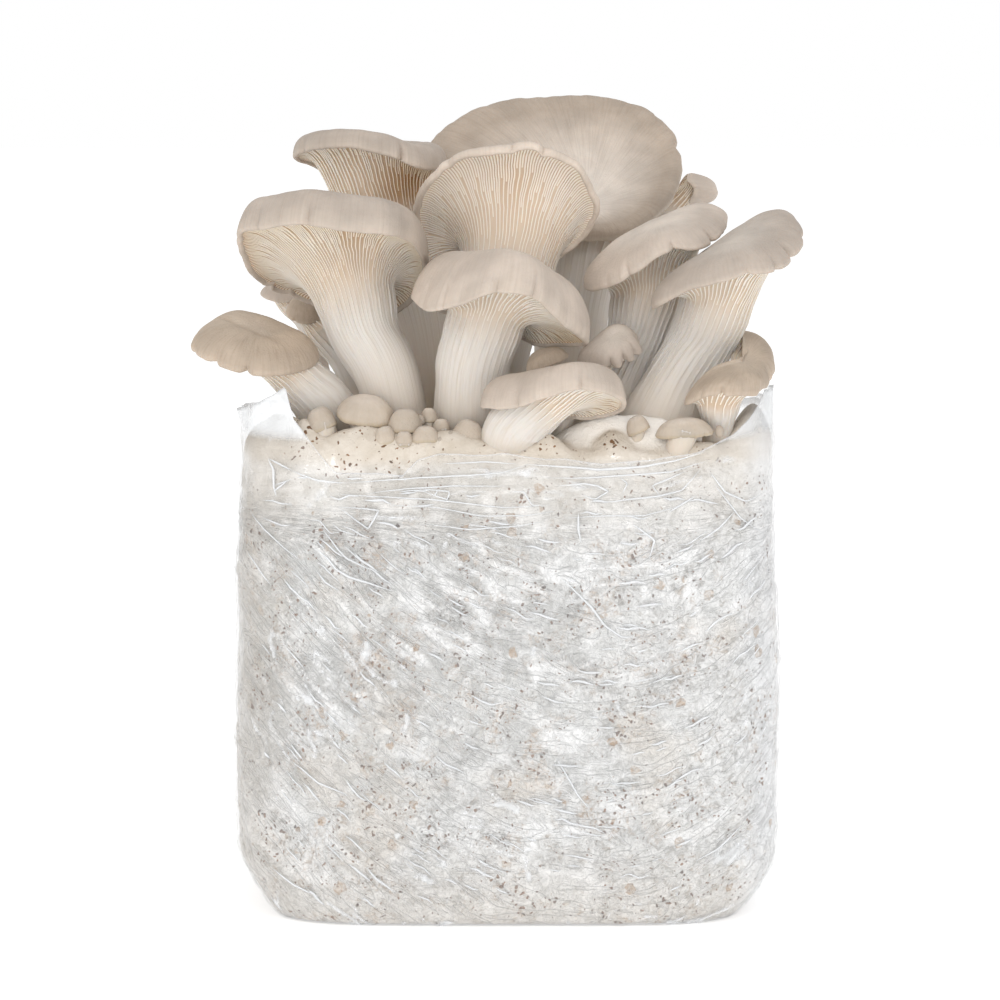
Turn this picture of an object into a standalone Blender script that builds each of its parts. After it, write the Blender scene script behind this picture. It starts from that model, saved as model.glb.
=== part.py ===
"""Oyster mushroom grow bag: a film bag, the colonised block inside it and the fruit bodies on top.

Run with: blender --background --python part.py

The frame is in metres with +Z up. The origin is on the surface the bag stands on, below the
middle of the whole object, and the broad face with the most mushrooms looks along -Y. The
dimensions below are in millimetres from the middle of the bag and from FOOT above the ground,
and they are turned to metres and to the origin when a mesh is made.
"""

import math

import bmesh
import bpy
import numpy as np
from mathutils import Vector

MM = 0.001

# The middle of the whole object, across and along, seen from the middle of the bag. It is the
# origin's place, so that the origin lies under the middle of everything that stands out.
MIDDLE = (-3.4, -4.3)

# The bag is the usual 8 x 5 inch gusseted spawn bag, cut open above the block.
BAG_WIDTH = 206.0
BAG_DEPTH = 128.0
FOOT = 4.0
BLOCK_HEIGHT = 174.0
FILM_WALL = 0.6
CLEARANCE = 0.3
FOOT_CLEARANCE = 0.5
CORNER_POWER = 5.0
BAG_COLUMNS = 40

# The block's top: how far below it the edge begins to round, and where its rings run, as shares
# of the way from the middle to the bag's wall.
SHOULDER = 9.0
TOP_SHARES = (0.955, 0.8, 0.5)

# A cap's underside: how strongly its rings leave the stem upwards, and how they arrive at the rim
# outwards and down.
LEAVE = 0.85
ARRIVE = 0.75
ARRIVE_OUT = 0.8
ARRIVE_DOWN = 0.6
SEEN_SHARE = 0.55
RIDGE_SHARE = 0.5

# A cap's top: how its margin swells, the swell's largest value, and where its rings run for two
# and for three rings.
SWELL_POWER = 1.7
SWELL_PEAK = 0.5
CAP_SHARES = {2: (0.94, 0.65), 3: (0.97, 0.84, 0.55)}

# A button: its points round the rim, and shares of its height for neck, crown and margin.
BUTTON_COLUMNS = 8
BUTTON_NECK = 0.3
BUTTON_LEAN = 0.5
BUTTON_ROLL = 0.12

# Height on the bag and how far its outline draws in there, across the width and the depth.
BAG_PROFILE = (
    (-4.0, 13.0, 6.0),
    (3.0, 8.0, 3.0),
    (11.0, 3.5, 1.2),
    (22.0, 0.6, 0.3),
    (62.0, 0.0, 0.0),
    (150.0, 2.5, 1.5),
)

# Free edge of the film: direction round the bag in degrees from +X, height.
FILM_EDGE = (
    (0.0, 192.0),
    (20.0, 188.0),
    (45.0, 182.0),
    (90.0, 181.0),
    (135.0, 182.0),
    (160.0, 184.0),
    (180.0, 186.0),
    (205.0, 188.0),
    (215.0, 190.0),
    (221.0, 192.0),
    (225.0, 195.0),
    (228.4, 199.0),
    (230.0, 187.0),
    (232.5, 181.0),
    (235.0, 174.0),
    (237.4, 168.0),
    (249.0, 167.0),
    (252.0, 173.0),
    (256.0, 175.0),
    (270.0, 175.0),
    (280.0, 173.0),
    (289.0, 171.0),
    (298.0, 173.0),
    (306.0, 175.0),
    (312.0, 181.0),
    (319.0, 189.0),
    (325.0, 196.0),
    (336.0, 197.0),
    (350.0, 194.0),
)

# Mounds of mycelium on the block's top: x, y, radius, height.
MOUNDS = (
    (40.0, -32.0, 34.0, 4.0),
    (62.0, -44.0, 20.0, 3.0),
    (-60.0, -30.0, 28.0, 4.0),
    (6.0, 26.0, 44.0, 5.0),
    (-26.0, -56.0, 24.0, -2.5),
)

FILM_COLOUR = (0.86, 0.87, 0.88, 1.0)
MYCELIUM_COLOUR = (0.80, 0.76, 0.69, 1.0)
PALE_CAP = (0.62, 0.56, 0.50, 1.0)
TAUPE_CAP = (0.50, 0.42, 0.34, 1.0)
BUTTON_CAP = (0.58, 0.50, 0.41, 1.0)


def material(name, colour, roughness):
    """A plain Principled material with the colour seen in daylight."""
    made = bpy.data.materials.new(name)
    made.use_nodes = True
    shader = made.node_tree.nodes["Principled BSDF"]
    shader.inputs["Base Color"].default_value = colour
    shader.inputs["Roughness"].default_value = roughness
    shader.inputs["Metallic"].default_value = 0.0
    made.diffuse_color = colour
    return made


def solid(name, points, faces, finish):
    """One named object from points in millimetres, its faces turned outwards."""
    mesh = bpy.data.meshes.new(name)
    origin = Vector((*MIDDLE, -FOOT))
    mesh.from_pydata([(Vector(p) - origin) * MM for p in points], [], faces)
    shape = bmesh.new()
    shape.from_mesh(mesh)
    bmesh.ops.recalc_face_normals(shape, faces=shape.faces)
    shape.to_mesh(mesh)
    shape.free()
    mesh.shade_smooth()
    mesh.set_sharp_from_angle(angle=math.radians(50.0))
    mesh.materials.append(finish)
    made = bpy.data.objects.new(name, mesh)
    bpy.context.scene.collection.objects.link(made)
    return made


def skin_rings(rings):
    """Points and faces that join rings of equal length, closed by a fan at each end.

    The first and the last entry are single points, the others are rings.
    """
    count = len(rings[1])
    points = [tuple(rings[0])]
    for ring in rings[1:-1]:
        points.extend(tuple(p) for p in ring)
    points.append(tuple(rings[-1]))
    last = len(points) - 1
    faces = []
    for i in range(count):
        j = (i + 1) % count
        faces.append((0, 1 + j, 1 + i))
        for band in range(len(rings) - 3):
            low = 1 + band * count
            faces.append((low + i, low + j, low + count + j, low + count + i))
        top = 1 + (len(rings) - 3) * count
        faces.append((top + i, top + j, last))
    return points, faces


def smooth_step(value):
    """0 below 0, 1 above 1 and an even turn between."""
    held = min(1.0, max(0.0, value))
    return held * held * (3.0 - 2.0 * held)


# ---------------------------------------------------------------- bag and block


def drawn_in(height):
    """How far the bag's outline is inside its full width and depth at a height."""
    heights = [row[0] for row in BAG_PROFILE]
    across = float(np.interp(height, heights, [row[1] for row in BAG_PROFILE]))
    along = float(np.interp(height, heights, [row[2] for row in BAG_PROFILE]))
    return across, along


def outline(angle, height, inset):
    """A point of the bag's rounded oblong outline, inset evenly from its outer face."""
    across, along = drawn_in(height)
    half_x = BAG_WIDTH / 2 - across - inset
    half_y = BAG_DEPTH / 2 - along - inset
    c, s = math.cos(angle), math.sin(angle)
    reach = (abs(c) ** CORNER_POWER + abs(s) ** CORNER_POWER) ** (-1.0 / CORNER_POWER)
    return half_x * c * reach, half_y * s * reach


def bag_ring(height, inset):
    """One level ring round the bag."""
    angles = [2 * math.pi * i / BAG_COLUMNS for i in range(BAG_COLUMNS)]
    return [(*outline(a, height, inset), height) for a in angles]


def film_edge_height(angle):
    """Height of the film's free edge in one direction."""
    turned = math.degrees(angle) % 360.0
    at = [row[0] for row in FILM_EDGE] + [360.0]
    heights = [row[1] for row in FILM_EDGE] + [FILM_EDGE[0][1]]
    return float(np.interp(turned, at, heights))


def film_rim(inset):
    """The ring along the film's free edge."""
    ring = []
    for i in range(BAG_COLUMNS):
        angle = 2 * math.pi * i / BAG_COLUMNS
        ring.append((*outline(angle, BLOCK_HEIGHT, inset), film_edge_height(angle)))
    return ring


def block_top(x, y):
    """Height of the block's grown top at a place."""
    height = BLOCK_HEIGHT
    for centre_x, centre_y, radius, rise in MOUNDS:
        away = math.hypot(x - centre_x, y - centre_y) / radius
        height += rise * (1.0 - smooth_step(away))
    return height


def make_bag(finish):
    """The film bag: a thin wall round the block and under it, open at the top."""
    levels = [row[0] for row in BAG_PROFILE]
    outer = [bag_ring(z, 0.0) for z in levels]
    inner = [bag_ring(max(z, FILM_WALL - FOOT), FILM_WALL) for z in levels]
    rings = [(0.0, 0.0, -FOOT), *outer, film_rim(0.0)]
    rings += [film_rim(FILM_WALL), *reversed(inner), (0.0, 0.0, FILM_WALL - FOOT)]
    return solid("film_bag", *skin_rings(rings), finish)


def make_block(finish):
    """The colonised block: it fills the bag, and its top edge is rounded."""
    inset = FILM_WALL + CLEARANCE
    levels = [row[0] for row in BAG_PROFILE]
    rings = [(0.0, 0.0, inset - FOOT)]
    rings += [bag_ring(max(z, inset - FOOT), inset) for z in levels]
    rings.append(bag_ring(BLOCK_HEIGHT - SHOULDER, inset))
    for reach in TOP_SHARES:
        ring = []
        for x, y, _ in bag_ring(BLOCK_HEIGHT, inset):
            x, y = x * reach, y * reach
            ring.append((x, y, block_top(x, y)))
        rings.append(ring)
    rings.append((0.0, 0.0, block_top(0.0, 0.0)))
    return solid("colonised_block", *skin_rings(rings), finish)


# ---------------------------------------------------------------- fruit bodies


def unit(vector):
    """The vector at length 1."""
    return vector / np.linalg.norm(vector)


def spline(points, at, closed=False):
    """Catmull-Rom curve through points, read at a parameter counted in points."""
    count = len(points)
    whole = int(math.floor(at))
    if not closed:
        whole = min(whole, count - 2)
    part = at - whole

    def take(index):
        if closed:
            return points[index % count]
        if index < 0:
            return 2 * points[0] - points[1]
        if index >= count:
            return 2 * points[-1] - points[-2]
        return points[index]

    p0, p1, p2, p3 = (take(whole + k) for k in (-1, 0, 1, 2))
    return 0.5 * (
        2 * p1
        + (p2 - p0) * part
        + (2 * p0 - 5 * p1 + 4 * p2 - p3) * part**2
        + (3 * p1 - p0 - 3 * p2 + p3) * part**3
    )


def even_rim(rim, count):
    """The closed rim curve as points a like distance apart."""
    fine = 24
    dense = [spline(rim, i / fine, closed=True) for i in range(len(rim) * fine + 1)]
    steps = [np.linalg.norm(b - a) for a, b in zip(dense, dense[1:])]
    travelled = np.concatenate([[0.0], np.cumsum(steps)])
    wanted = np.linspace(0.0, travelled[-1], count, endpoint=False)
    at = np.interp(wanted, travelled, np.arange(len(dense)) / fine)
    return [spline(rim, float(a), closed=True) for a in at]


def rim_normal(ring, centre):
    """Mean direction that the cap's top faces, by the rim's swept area."""
    total = np.zeros(3)
    for a, b in zip(ring, ring[1:] + ring[:1]):
        total += np.cross(a - centre, b - centre)
    return unit(total)


def across_frame(direction):
    """Two directions across a stem: the first as near to +X as it can be."""
    first = unit(np.array([1.0, 0.0, 0.0]) - direction * direction[0])
    return first, np.cross(direction, first)


class FruitBody:
    """One mushroom, grown as a single piece: stem, gills and cap.

    stem is a list of (x, y, z, radius across X, radius across Y) from the foot to the neck,
    where a foot with z of None stands on the block. rim is the cap's edge as points in order
    round it, crown is the middle of the cap's top. roll is how high the margin swells above
    the edge, dish how sharply the top turns from the crown to the rim, and gill how deep the
    ridges under the cap are.
    """

    def __init__(
        self, name, stem, rim, crown, roll, dish=2.0, gill=0.0, columns=16, rings=3, tone=PALE_CAP
    ):
        self.name = name
        self.rim = [np.array(p, float) for p in rim]
        self.crown = np.array(crown, float)
        self.roll = roll
        self.dish = dish
        self.gill = gill
        self.columns = columns
        self.rings = rings
        self.tone = tone
        self.stem = [np.array(self.grounded(row), float) for row in stem]

    def grounded(self, row):
        """A stem row with its height filled in where it stands on the block."""
        x, y, z, radius_x, radius_y = row
        if z is not None:
            return row
        beneath = [
            block_top(x + radius_x * i / 2, y + radius_y * j / 2)
            for i in range(-2, 3)
            for j in range(-2, 3)
        ]
        return x, y, max(beneath) + FOOT_CLEARANCE, radius_x, radius_y

    def stem_ring(self, at, turns):
        """The stem's cross-section at a parameter, level at the foot and then square to it."""
        row = spline(self.stem, at)
        ahead = spline(self.stem, min(at + 0.05, len(self.stem) - 1))
        behind = spline(self.stem, max(at - 0.05, 0.0))
        upright = 1.0 - smooth_step(at / 1.2)
        direction = unit((ahead - behind)[:3]) * (1.0 - upright)
        direction = unit(direction + np.array([0.0, 0.0, upright]))
        first, second = across_frame(direction)
        across = row[3] * first
        along = row[4] * second
        ring = [row[:3] + math.cos(t) * across + math.sin(t) * along for t in turns]
        return ring, direction

    def turns_of(self, ring):
        """For each rim point, the direction round the stem that its gill runs down to."""
        neck = self.stem[-1][:3]
        first, second = across_frame(unit((self.stem[-1] - self.stem[-2])[:3]))
        seen = np.unwrap([math.atan2((p - neck) @ second, (p - neck) @ first) for p in ring])
        even = seen[0] + 2 * math.pi * np.arange(len(ring)) / len(ring)
        even += np.mean(seen - even)
        return SEEN_SHARE * seen + (1.0 - SEEN_SHARE) * even

    def build(self):
        """Makes the solid."""
        ring = even_rim(self.rim, self.columns)
        normal = rim_normal(ring, self.crown)
        if normal @ (self.stem[-1] - self.stem[-2])[:3] < 0:
            ring.reverse()
            normal = -normal
        turns = self.turns_of(ring)
        last = len(self.stem) - 1
        rings = [self.stem[0][:3]]
        for step in range(self.rings + 1):
            rings.append(self.stem_ring(last * step / self.rings, turns)[0])
        neck, climb = self.stem_ring(last, turns)
        for share in np.linspace(0.0, 1.0, self.rings + 2)[1:-1]:
            rings.append(self.gill_ring(float(share), neck, climb, ring, normal))
        rings.append(ring)
        for share in CAP_SHARES[self.rings]:
            rings.append([self.top_point(share, p, normal) for p in ring])
        rings.append(self.crown)
        return solid(self.name, *skin_rings(rings), material(self.name, self.tone, 0.6))

    def gill_ring(self, share, neck, climb, ring, normal):
        """A ring of the gilled underside, from the neck at 0 to the rim at 1."""
        h00 = 2 * share**3 - 3 * share**2 + 1
        h10 = share**3 - 2 * share**2 + share
        h01 = 3 * share**2 - 2 * share**3
        h11 = share**3 - share**2
        swell = math.sin(math.pi * share)
        made = []
        for index, (start, end) in enumerate(zip(neck, ring)):
            reach = np.linalg.norm(end - start)
            out = end - self.crown
            out = unit(out - normal * (out @ normal))
            leave = climb * reach * LEAVE
            arrive = (out * ARRIVE_OUT - normal * ARRIVE_DOWN) * reach * ARRIVE
            point = h00 * start + h10 * leave + h01 * end + h11 * arrive
            ridge = self.gill * swell * (RIDGE_SHARE if index % 2 else -RIDGE_SHARE)
            made.append(point - normal * ridge)
        return made

    def top_point(self, share, rim_point, normal):
        """A point of the cap's top, from the crown at 0 to the rim at 1."""
        out = rim_point - self.crown
        height = out @ normal
        flat = out - normal * height
        swell = share**SWELL_POWER * math.sqrt(1.0 - share ** (2.0 * SWELL_POWER))
        lift = height * share**self.dish + self.roll * swell / SWELL_PEAK
        return self.crown + flat * share + normal * lift


def button(name, centre, half, height, foot, radius, lean=(0.0, 0.0)):
    """A young fruit body: a small round cap on a short stem.

    centre is the middle of the cap's edge, half its half widths along X and Y, height how far
    the cap rises over its edge, foot and radius place the stem on the block, and lean is how
    much the edge climbs for each millimetre along X and Y.
    """
    x, y, z = centre
    rim = []
    for i in range(BUTTON_COLUMNS):
        turn = 2 * math.pi * i / BUTTON_COLUMNS
        dx, dy = half[0] * math.cos(turn), half[1] * math.sin(turn)
        rim.append((x + dx, y + dy, z + lean[0] * dx + lean[1] * dy))
    neck = z + BUTTON_NECK * height
    stem = [(*foot, None, radius, radius), (x, y, neck, radius, radius)]
    crown = (x - lean[0] * height * BUTTON_LEAN, y - lean[1] * height * BUTTON_LEAN, z + height)
    roll = BUTTON_ROLL * height
    return FruitBody(
        name, stem, rim, crown, roll, columns=BUTTON_COLUMNS, rings=2, tone=BUTTON_CAP
    )


FRUIT_BODIES = (
    FruitBody(
        "mushroom_front_center",
        stem=[(-14, -35, None, 14, 10), (-13, -38, 203, 13.5, 11), (-8, -41, 222, 14, 11)],
        rim=[
            (-35, -50, 231), (-30, -62, 229), (-18, -73, 231), (-4, -78, 236), (9, -76, 234),
            (18, -67, 226), (26, -58, 219), (30, -50, 215), (28, -43, 213), (20, -35, 212),
            (12, -29, 212), (4, -24, 215), (-9, -21, 219), (-24, -24, 224), (-33, -37, 229),
        ],
        crown=(-3, -46, 243), roll=8, dish=2.7, gill=1.2, columns=28,
    ),
    FruitBody(
        "mushroom_front_low",
        stem=[(0, -53, None, 10, 7.5), (3, -57, 184, 11, 8), (12, -60, 193, 10, 7.5)],
        rim=[
            (-10, -62, 192), (1, -72, 194), (13, -78, 198), (24, -79, 201), (34, -75, 200),
            (41, -68, 197), (44, -60, 193), (41, -52, 189), (32, -47, 186), (20, -46, 187),
            (8, -47, 190), (-3, -52, 192),
        ],
        crown=(22, -60, 203), roll=7, dish=2.2, gill=0.8, columns=24,
    ),
    FruitBody(
        "mushroom_left_tall",
        stem=[
            (-39, -31, None, 11, 10), (-45, -29, 200, 12, 11), (-53, -26, 215, 13, 12),
            (-57, -24, 229, 15, 14),
        ],
        rim=[
            (-99, -44, 255), (-89, -58, 258), (-75, -68, 260), (-57, -72, 258),
            (-42, -66, 256), (-33, -50, 251), (-29, -30, 241), (-34, -12, 229),
            (-44, -5, 221), (-62, 0, 220), (-80, 0, 227), (-93, -8, 233), (-99, -26, 244),
        ],
        crown=(-62, -27, 249), roll=13, dish=1.7, gill=1.6, columns=30,
    ),
    FruitBody(
        "mushroom_upper_left",
        stem=[
            (-27, 11, None, 9, 8), (-32, 13, 213, 11, 9), (-39, 14, 240, 15, 12),
            (-45, 14, 256, 18, 15),
        ],
        rim=[
            (-82, 2, 281), (-72, -12, 285), (-59, -20, 285), (-44, -22, 283),
            (-31, -14, 277), (-23, 6, 277), (-30, 32, 278), (-50, 42, 278),
            (-65, 32, 272), (-75, 16, 277),
        ],
        crown=(-50, 12, 280), roll=7, dish=2.0, gill=1.6, columns=28,
    ),
    FruitBody(
        "mushroom_center_fan",
        stem=[
            (-10, -10, None, 13, 8), (-7, -8, 208, 16, 9), (-3, -5, 226, 17, 10),
            (0, -3, 240, 18, 10),
        ],
        rim=[
            (-36, -13, 257), (-30, -28, 273), (-17, -36, 283), (-1, -40, 286),
            (12, -40, 287), (27, -34, 278), (34, -24, 265), (31, -12, 252),
            (19, -2, 242), (5, 8, 238), (-14, 9, 237), (-30, 0, 240),
        ],
        crown=(0, 7, 257), roll=3, dish=1.6, gill=1.6, columns=30,
    ),
    FruitBody(
        "mushroom_back_large",
        stem=[
            (24, 22, None, 14, 12), (25, 26, 212, 14, 12), (28, 30, 232, 15, 14),
            (31, 34, 244, 17, 16),
        ],
        rim=[
            (32, 8, 248), (15, 8, 250), (-10, 18, 257), (-30, 34, 276), (-30, 46, 284),
            (-11, 60, 297), (21, 70, 301), (49, 68, 299), (66, 58, 287), (69, 44, 273),
            (62, 28, 259), (47, 14, 249),
        ],
        crown=(31, 26, 262), roll=5, dish=1.5, gill=1.2, columns=28, tone=TAUPE_CAP,
    ),
    FruitBody(
        "mushroom_right_inner",
        stem=[
            (31, -26, None, 14, 9), (41, -21, 194, 14, 9), (49, -15, 210, 12, 9),
            (53, -11, 223, 14, 10),
        ],
        rim=[
            (28, -20, 233), (35, -32, 233), (47, -42, 240), (59, -44, 247), (73, -36, 249),
            (81, -20, 254), (83, -4, 259), (76, 8, 257), (56, 6, 249), (37, -3, 239),
        ],
        crown=(56, -14, 257), roll=3, dish=2.0, gill=1.4, columns=28,
    ),
    FruitBody(
        "mushroom_right_outer",
        stem=[
            (53, -40, None, 17, 6.5), (62, -33, 194, 13, 9), (71, -29, 210, 12, 9),
            (77, -31, 225, 13, 10),
        ],
        rim=[
            (52, -42, 226), (65, -54, 234), (81, -60, 239), (94, -58, 241), (102, -50, 243),
            (109, -36, 249), (111, -20, 256), (104, -9, 259), (92, -12, 253), (76, -22, 242),
            (61, -34, 231),
        ],
        crown=(82, -38, 251), roll=3, dish=2.0, gill=1.4, columns=28,
    ),
    FruitBody(
        "mushroom_right_low",
        stem=[(78, -43, None, 6, 6), (78, -45, 184, 6, 6), (78, -49, 192, 8, 6)],
        rim=[
            (65, -52, 192), (72, -61, 195), (83, -62, 196), (93, -54, 196), (97, -42, 199),
            (100, -30, 203), (99, -18, 208), (94, -10, 212), (88, -9, 213), (89, -18, 210),
            (89, -32, 206), (83, -43, 204), (72, -48, 200),
        ],
        crown=(87, -45, 207), roll=3, dish=2.0, gill=1.0, columns=20, tone=TAUPE_CAP,
    ),
    FruitBody(
        "mushroom_left_low",
        stem=[(-63, -32, None, 12, 10), (-69, -32, 190, 11, 10), (-78, -33, 200, 9, 11)],
        rim=[
            (-118, -30, 211), (-112, -40, 208), (-103, -48, 205), (-92, -52, 203),
            (-82, -50, 203), (-73, -42, 205), (-70, -34, 207), (-73, -26, 209),
            (-84, -16, 213), (-93, -10, 216), (-105, -6, 218), (-114, -14, 215),
        ],
        crown=(-92, -29, 219), roll=3, dish=2.4, gill=1.0, columns=22, tone=TAUPE_CAP,
    ),
    FruitBody(
        "mushroom_back_right",
        stem=[(50, 40, 176, 6, 6), (52, 45, 225, 6, 6), (58, 49, 247, 6, 6), (65, 52, 257, 6, 6)],
        rim=[
            (71, 49, 270), (74, 47, 266), (73, 48, 262), (71, 52, 259), (69, 58, 260),
            (68, 62, 265), (70, 60, 270), (72, 54, 272),
        ],
        crown=(83, 54, 264), roll=3, dish=2.4, gill=0.5, columns=12, rings=2,
    ),
    FruitBody(
        "mushroom_middle_shell",
        stem=[(18, -42, None, 4, 3.5), (24, -40, 196, 4, 4), (33, -37, 205, 5, 4)],
        rim=[
            (26, -39, 205), (30, -33, 208), (36, -30, 214), (41, -29, 217), (47, -30, 216),
            (50, -35, 211), (47, -41, 207), (41, -45, 204), (34, -44, 204),
        ],
        crown=(39, -39, 216), roll=3, dish=2.2, columns=14, rings=2,
    ),
    FruitBody(
        "mushroom_middle_small",
        stem=[(8, -40, None, 3.5, 3.5), (11, -42, 200, 3.5, 3.5), (13, -43, 205, 3.5, 3.5)],
        rim=[
            (7, -45, 202), (11, -48, 204), (16, -48, 206), (21, -45, 208), (22, -42, 209),
            (18, -39, 209), (12, -39, 208), (8, -41, 206),
        ],
        crown=(14, -44, 211), roll=1.5, columns=8, rings=2, tone=TAUPE_CAP,
    ),
    FruitBody(
        "mushroom_left_dark",
        stem=[(-52, 8, None, 8, 7), (-60, 9, 200, 7, 6), (-71, 12, 213, 6, 5)],
        rim=[
            (-85, 10, 220), (-80, 7, 217), (-74, 8, 217), (-70, 13, 219), (-72, 19, 220),
            (-78, 20, 221), (-83, 17, 222),
        ],
        crown=(-79, 14, 227), roll=1.5, columns=12, rings=2, tone=TAUPE_CAP,
    ),
    FruitBody(
        "mushroom_left_flat",
        stem=[(-68, 20, None, 4, 4), (-76, 23, 210, 3.5, 3.5), (-85, 25, 222, 3.5, 3.5)],
        rim=[
            (-96, 24, 227), (-90, 20, 224), (-82, 20, 224), (-78, 25, 226), (-82, 31, 228),
            (-90, 31, 229),
        ],
        crown=(-87, 25, 230), roll=1.0, columns=8, rings=2,
    ),
    button("button_wide", (-52.5, -48, 187), (11, 7.5), 7.5, (-49, -47), 4.5, (-0.08, 0.25)),
    button("button_left", (-68, -50, 183), (5.5, 5), 7.5, (-66, -50), 3.5, (0.35, 0.1)),
    button("button_round", (-37.5, -52.5, 183), (6, 5.5), 7.2, (-37.5, -51.5), 3.2),
    button("button_front_a", (-44.5, -57, 178.5), (4.2, 3.5), 5.6, (-44, -56.5), 2, (0.25, 0)),
    button("button_front_b", (-37.8, -59, 178), (3, 2.4), 4.6, (-37.8, -59), 1.5),
    button("button_front_c", (-30, -57.5, 178.5), (4.6, 4), 5.8, (-30, -57), 2.5),
    button("button_right", (-24.3, -50.5, 181.5), (3.5, 3), 4.8, (-24.3, -50.5), 2),
    button("button_back", (-29, -46.5, 185), (3.2, 2.5), 5, (-29.5, -47.5), 1.5),
    button("button_leaning", (-14.5, -53.8, 179.5), (5.0, 4.0), 6.4, (-15, -52), 3, (-0.35, 0)),
    button("button_long", (65, -54.5, 181), (10.4, 4.4), 6, (63, -54.5), 3.5, (0.06, 0.1)),
    button("button_shell", (48.5, -52, 182), (4.2, 4), 5.6, (47, -50.5), 2, (0.45, 0)),
)


def main():
    """Clears the scene and builds every piece."""
    for old in list(bpy.data.objects):
        bpy.data.objects.remove(old, do_unlink=True)
    make_bag(material("film", FILM_COLOUR, 0.2))
    make_block(material("mycelium", MYCELIUM_COLOUR, 0.8))
    for body in FRUIT_BODIES:
        body.build()


main()
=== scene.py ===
"""Oyster mushroom grow bag: the looks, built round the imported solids.

Lengths are millimetres until a mesh is made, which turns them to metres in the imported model's
frame. They are measured from the middle of the bag, and heights from FOOT above the ground.
"""

from __future__ import annotations

import logging
import math
from dataclasses import dataclass
from enum import Enum

import bpy
import numpy as np
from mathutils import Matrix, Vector


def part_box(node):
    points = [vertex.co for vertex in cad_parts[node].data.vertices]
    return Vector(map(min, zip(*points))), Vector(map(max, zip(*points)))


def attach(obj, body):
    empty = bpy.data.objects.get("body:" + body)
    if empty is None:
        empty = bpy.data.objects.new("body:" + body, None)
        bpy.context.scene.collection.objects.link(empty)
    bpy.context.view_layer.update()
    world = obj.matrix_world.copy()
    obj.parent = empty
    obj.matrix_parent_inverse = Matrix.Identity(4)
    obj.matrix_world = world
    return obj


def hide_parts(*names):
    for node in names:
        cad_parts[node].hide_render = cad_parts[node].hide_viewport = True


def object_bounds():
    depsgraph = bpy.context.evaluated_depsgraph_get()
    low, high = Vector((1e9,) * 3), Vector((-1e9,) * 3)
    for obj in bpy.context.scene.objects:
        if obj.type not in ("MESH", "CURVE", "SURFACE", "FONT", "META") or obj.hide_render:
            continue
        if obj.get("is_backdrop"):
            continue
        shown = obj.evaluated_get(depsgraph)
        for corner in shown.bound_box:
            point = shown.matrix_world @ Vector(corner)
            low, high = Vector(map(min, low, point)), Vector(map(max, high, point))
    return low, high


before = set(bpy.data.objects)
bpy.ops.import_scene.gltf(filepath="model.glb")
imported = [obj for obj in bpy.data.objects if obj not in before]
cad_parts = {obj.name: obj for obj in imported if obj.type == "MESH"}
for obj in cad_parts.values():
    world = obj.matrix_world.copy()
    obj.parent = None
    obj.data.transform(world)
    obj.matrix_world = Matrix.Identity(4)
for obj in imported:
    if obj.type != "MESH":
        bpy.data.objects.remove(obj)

MM = 0.001
CAD_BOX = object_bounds()
BAG_LOW, BAG_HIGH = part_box("film_bag")
FOOT = 4.0
MIDDLE = np.array([(BAG_LOW.x + BAG_HIGH.x) / 2, (BAG_LOW.y + BAG_HIGH.y) / 2, FOOT * MM])
BAG_WIDTH = (BAG_HIGH.x - BAG_LOW.x) / MM
BAG_DEPTH = (BAG_HIGH.y - BAG_LOW.y) / MM
BLOCK_HEIGHT = 174.0

log = logging.getLogger("grow_bag")


# ---------------------------------------------------------------- numbers and meshes


def linear(hex_colour: str) -> tuple[float, float, float, float]:
    """Turns an sRGB hex colour such as #C9BFB5 to linear light.

    Args:
        hex_colour: The colour as it looks, with or without the hash.

    Returns:
        Red, green, blue and a full alpha.
    """
    text = hex_colour.lstrip("#")
    parts = [int(text[i : i + 2], 16) / 255 for i in (0, 2, 4)]
    light = [p / 12.92 if p <= 0.04045 else ((p + 0.055) / 1.055) ** 2.4 for p in parts]
    return (*light, 1.0)


def smooth_step(value: np.ndarray | float) -> np.ndarray:
    """0 below 0, 1 above 1 and an even turn between."""
    held = np.clip(value, 0.0, 1.0)
    return held * held * (3.0 - 2.0 * held)


def unit(vectors: np.ndarray) -> np.ndarray:
    """The vectors at length 1."""
    return vectors / np.maximum(np.linalg.norm(vectors, axis=-1, keepdims=True), 1e-9)


def curve(points: np.ndarray, at: np.ndarray, closed: bool = False) -> np.ndarray:
    """Catmull-Rom curve through points.

    Args:
        points: One control point a row.
        at: Parameters counted in points.
        closed: Whether the last point leads back to the first.

    Returns:
        One row for each parameter.
    """
    count = len(points)
    whole = np.floor(at).astype(int)
    if closed:
        held = points
        picks = [(whole + k) % count for k in (-1, 0, 1, 2)]
    else:
        whole = np.minimum(whole, count - 2)
        held = np.vstack([2 * points[0] - points[1], points, 2 * points[-1] - points[-2]])
        picks = [whole + k for k in (0, 1, 2, 3)]
    p0, p1, p2, p3 = (held[pick] for pick in picks)
    part = (at - whole)[:, None]
    return 0.5 * (
        2 * p1
        + (p2 - p0) * part
        + (2 * p0 - 5 * p1 + 4 * p2 - p3) * part**2
        + (3 * p1 - p0 - 3 * p2 + p3) * part**3
    )


def away_from(places: np.ndarray, corners: tuple) -> np.ndarray:
    """How far places are from a line through corners.

    Args:
        places: Points, with x, y and z on the last axis.
        corners: The line's corners, each with x, y and z.

    Returns:
        One distance for each place.
    """
    line = np.array(corners, float)
    nearest = np.full(places.shape[:-1], np.inf)
    for start, end in zip(line, line[1:]):
        run = end - start
        share = np.clip((places - start) @ run / (run @ run), 0.0, 1.0)
        gap = np.linalg.norm(places - start - share[..., None] * run, axis=-1)
        nearest = np.minimum(nearest, gap)
    return nearest


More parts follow.
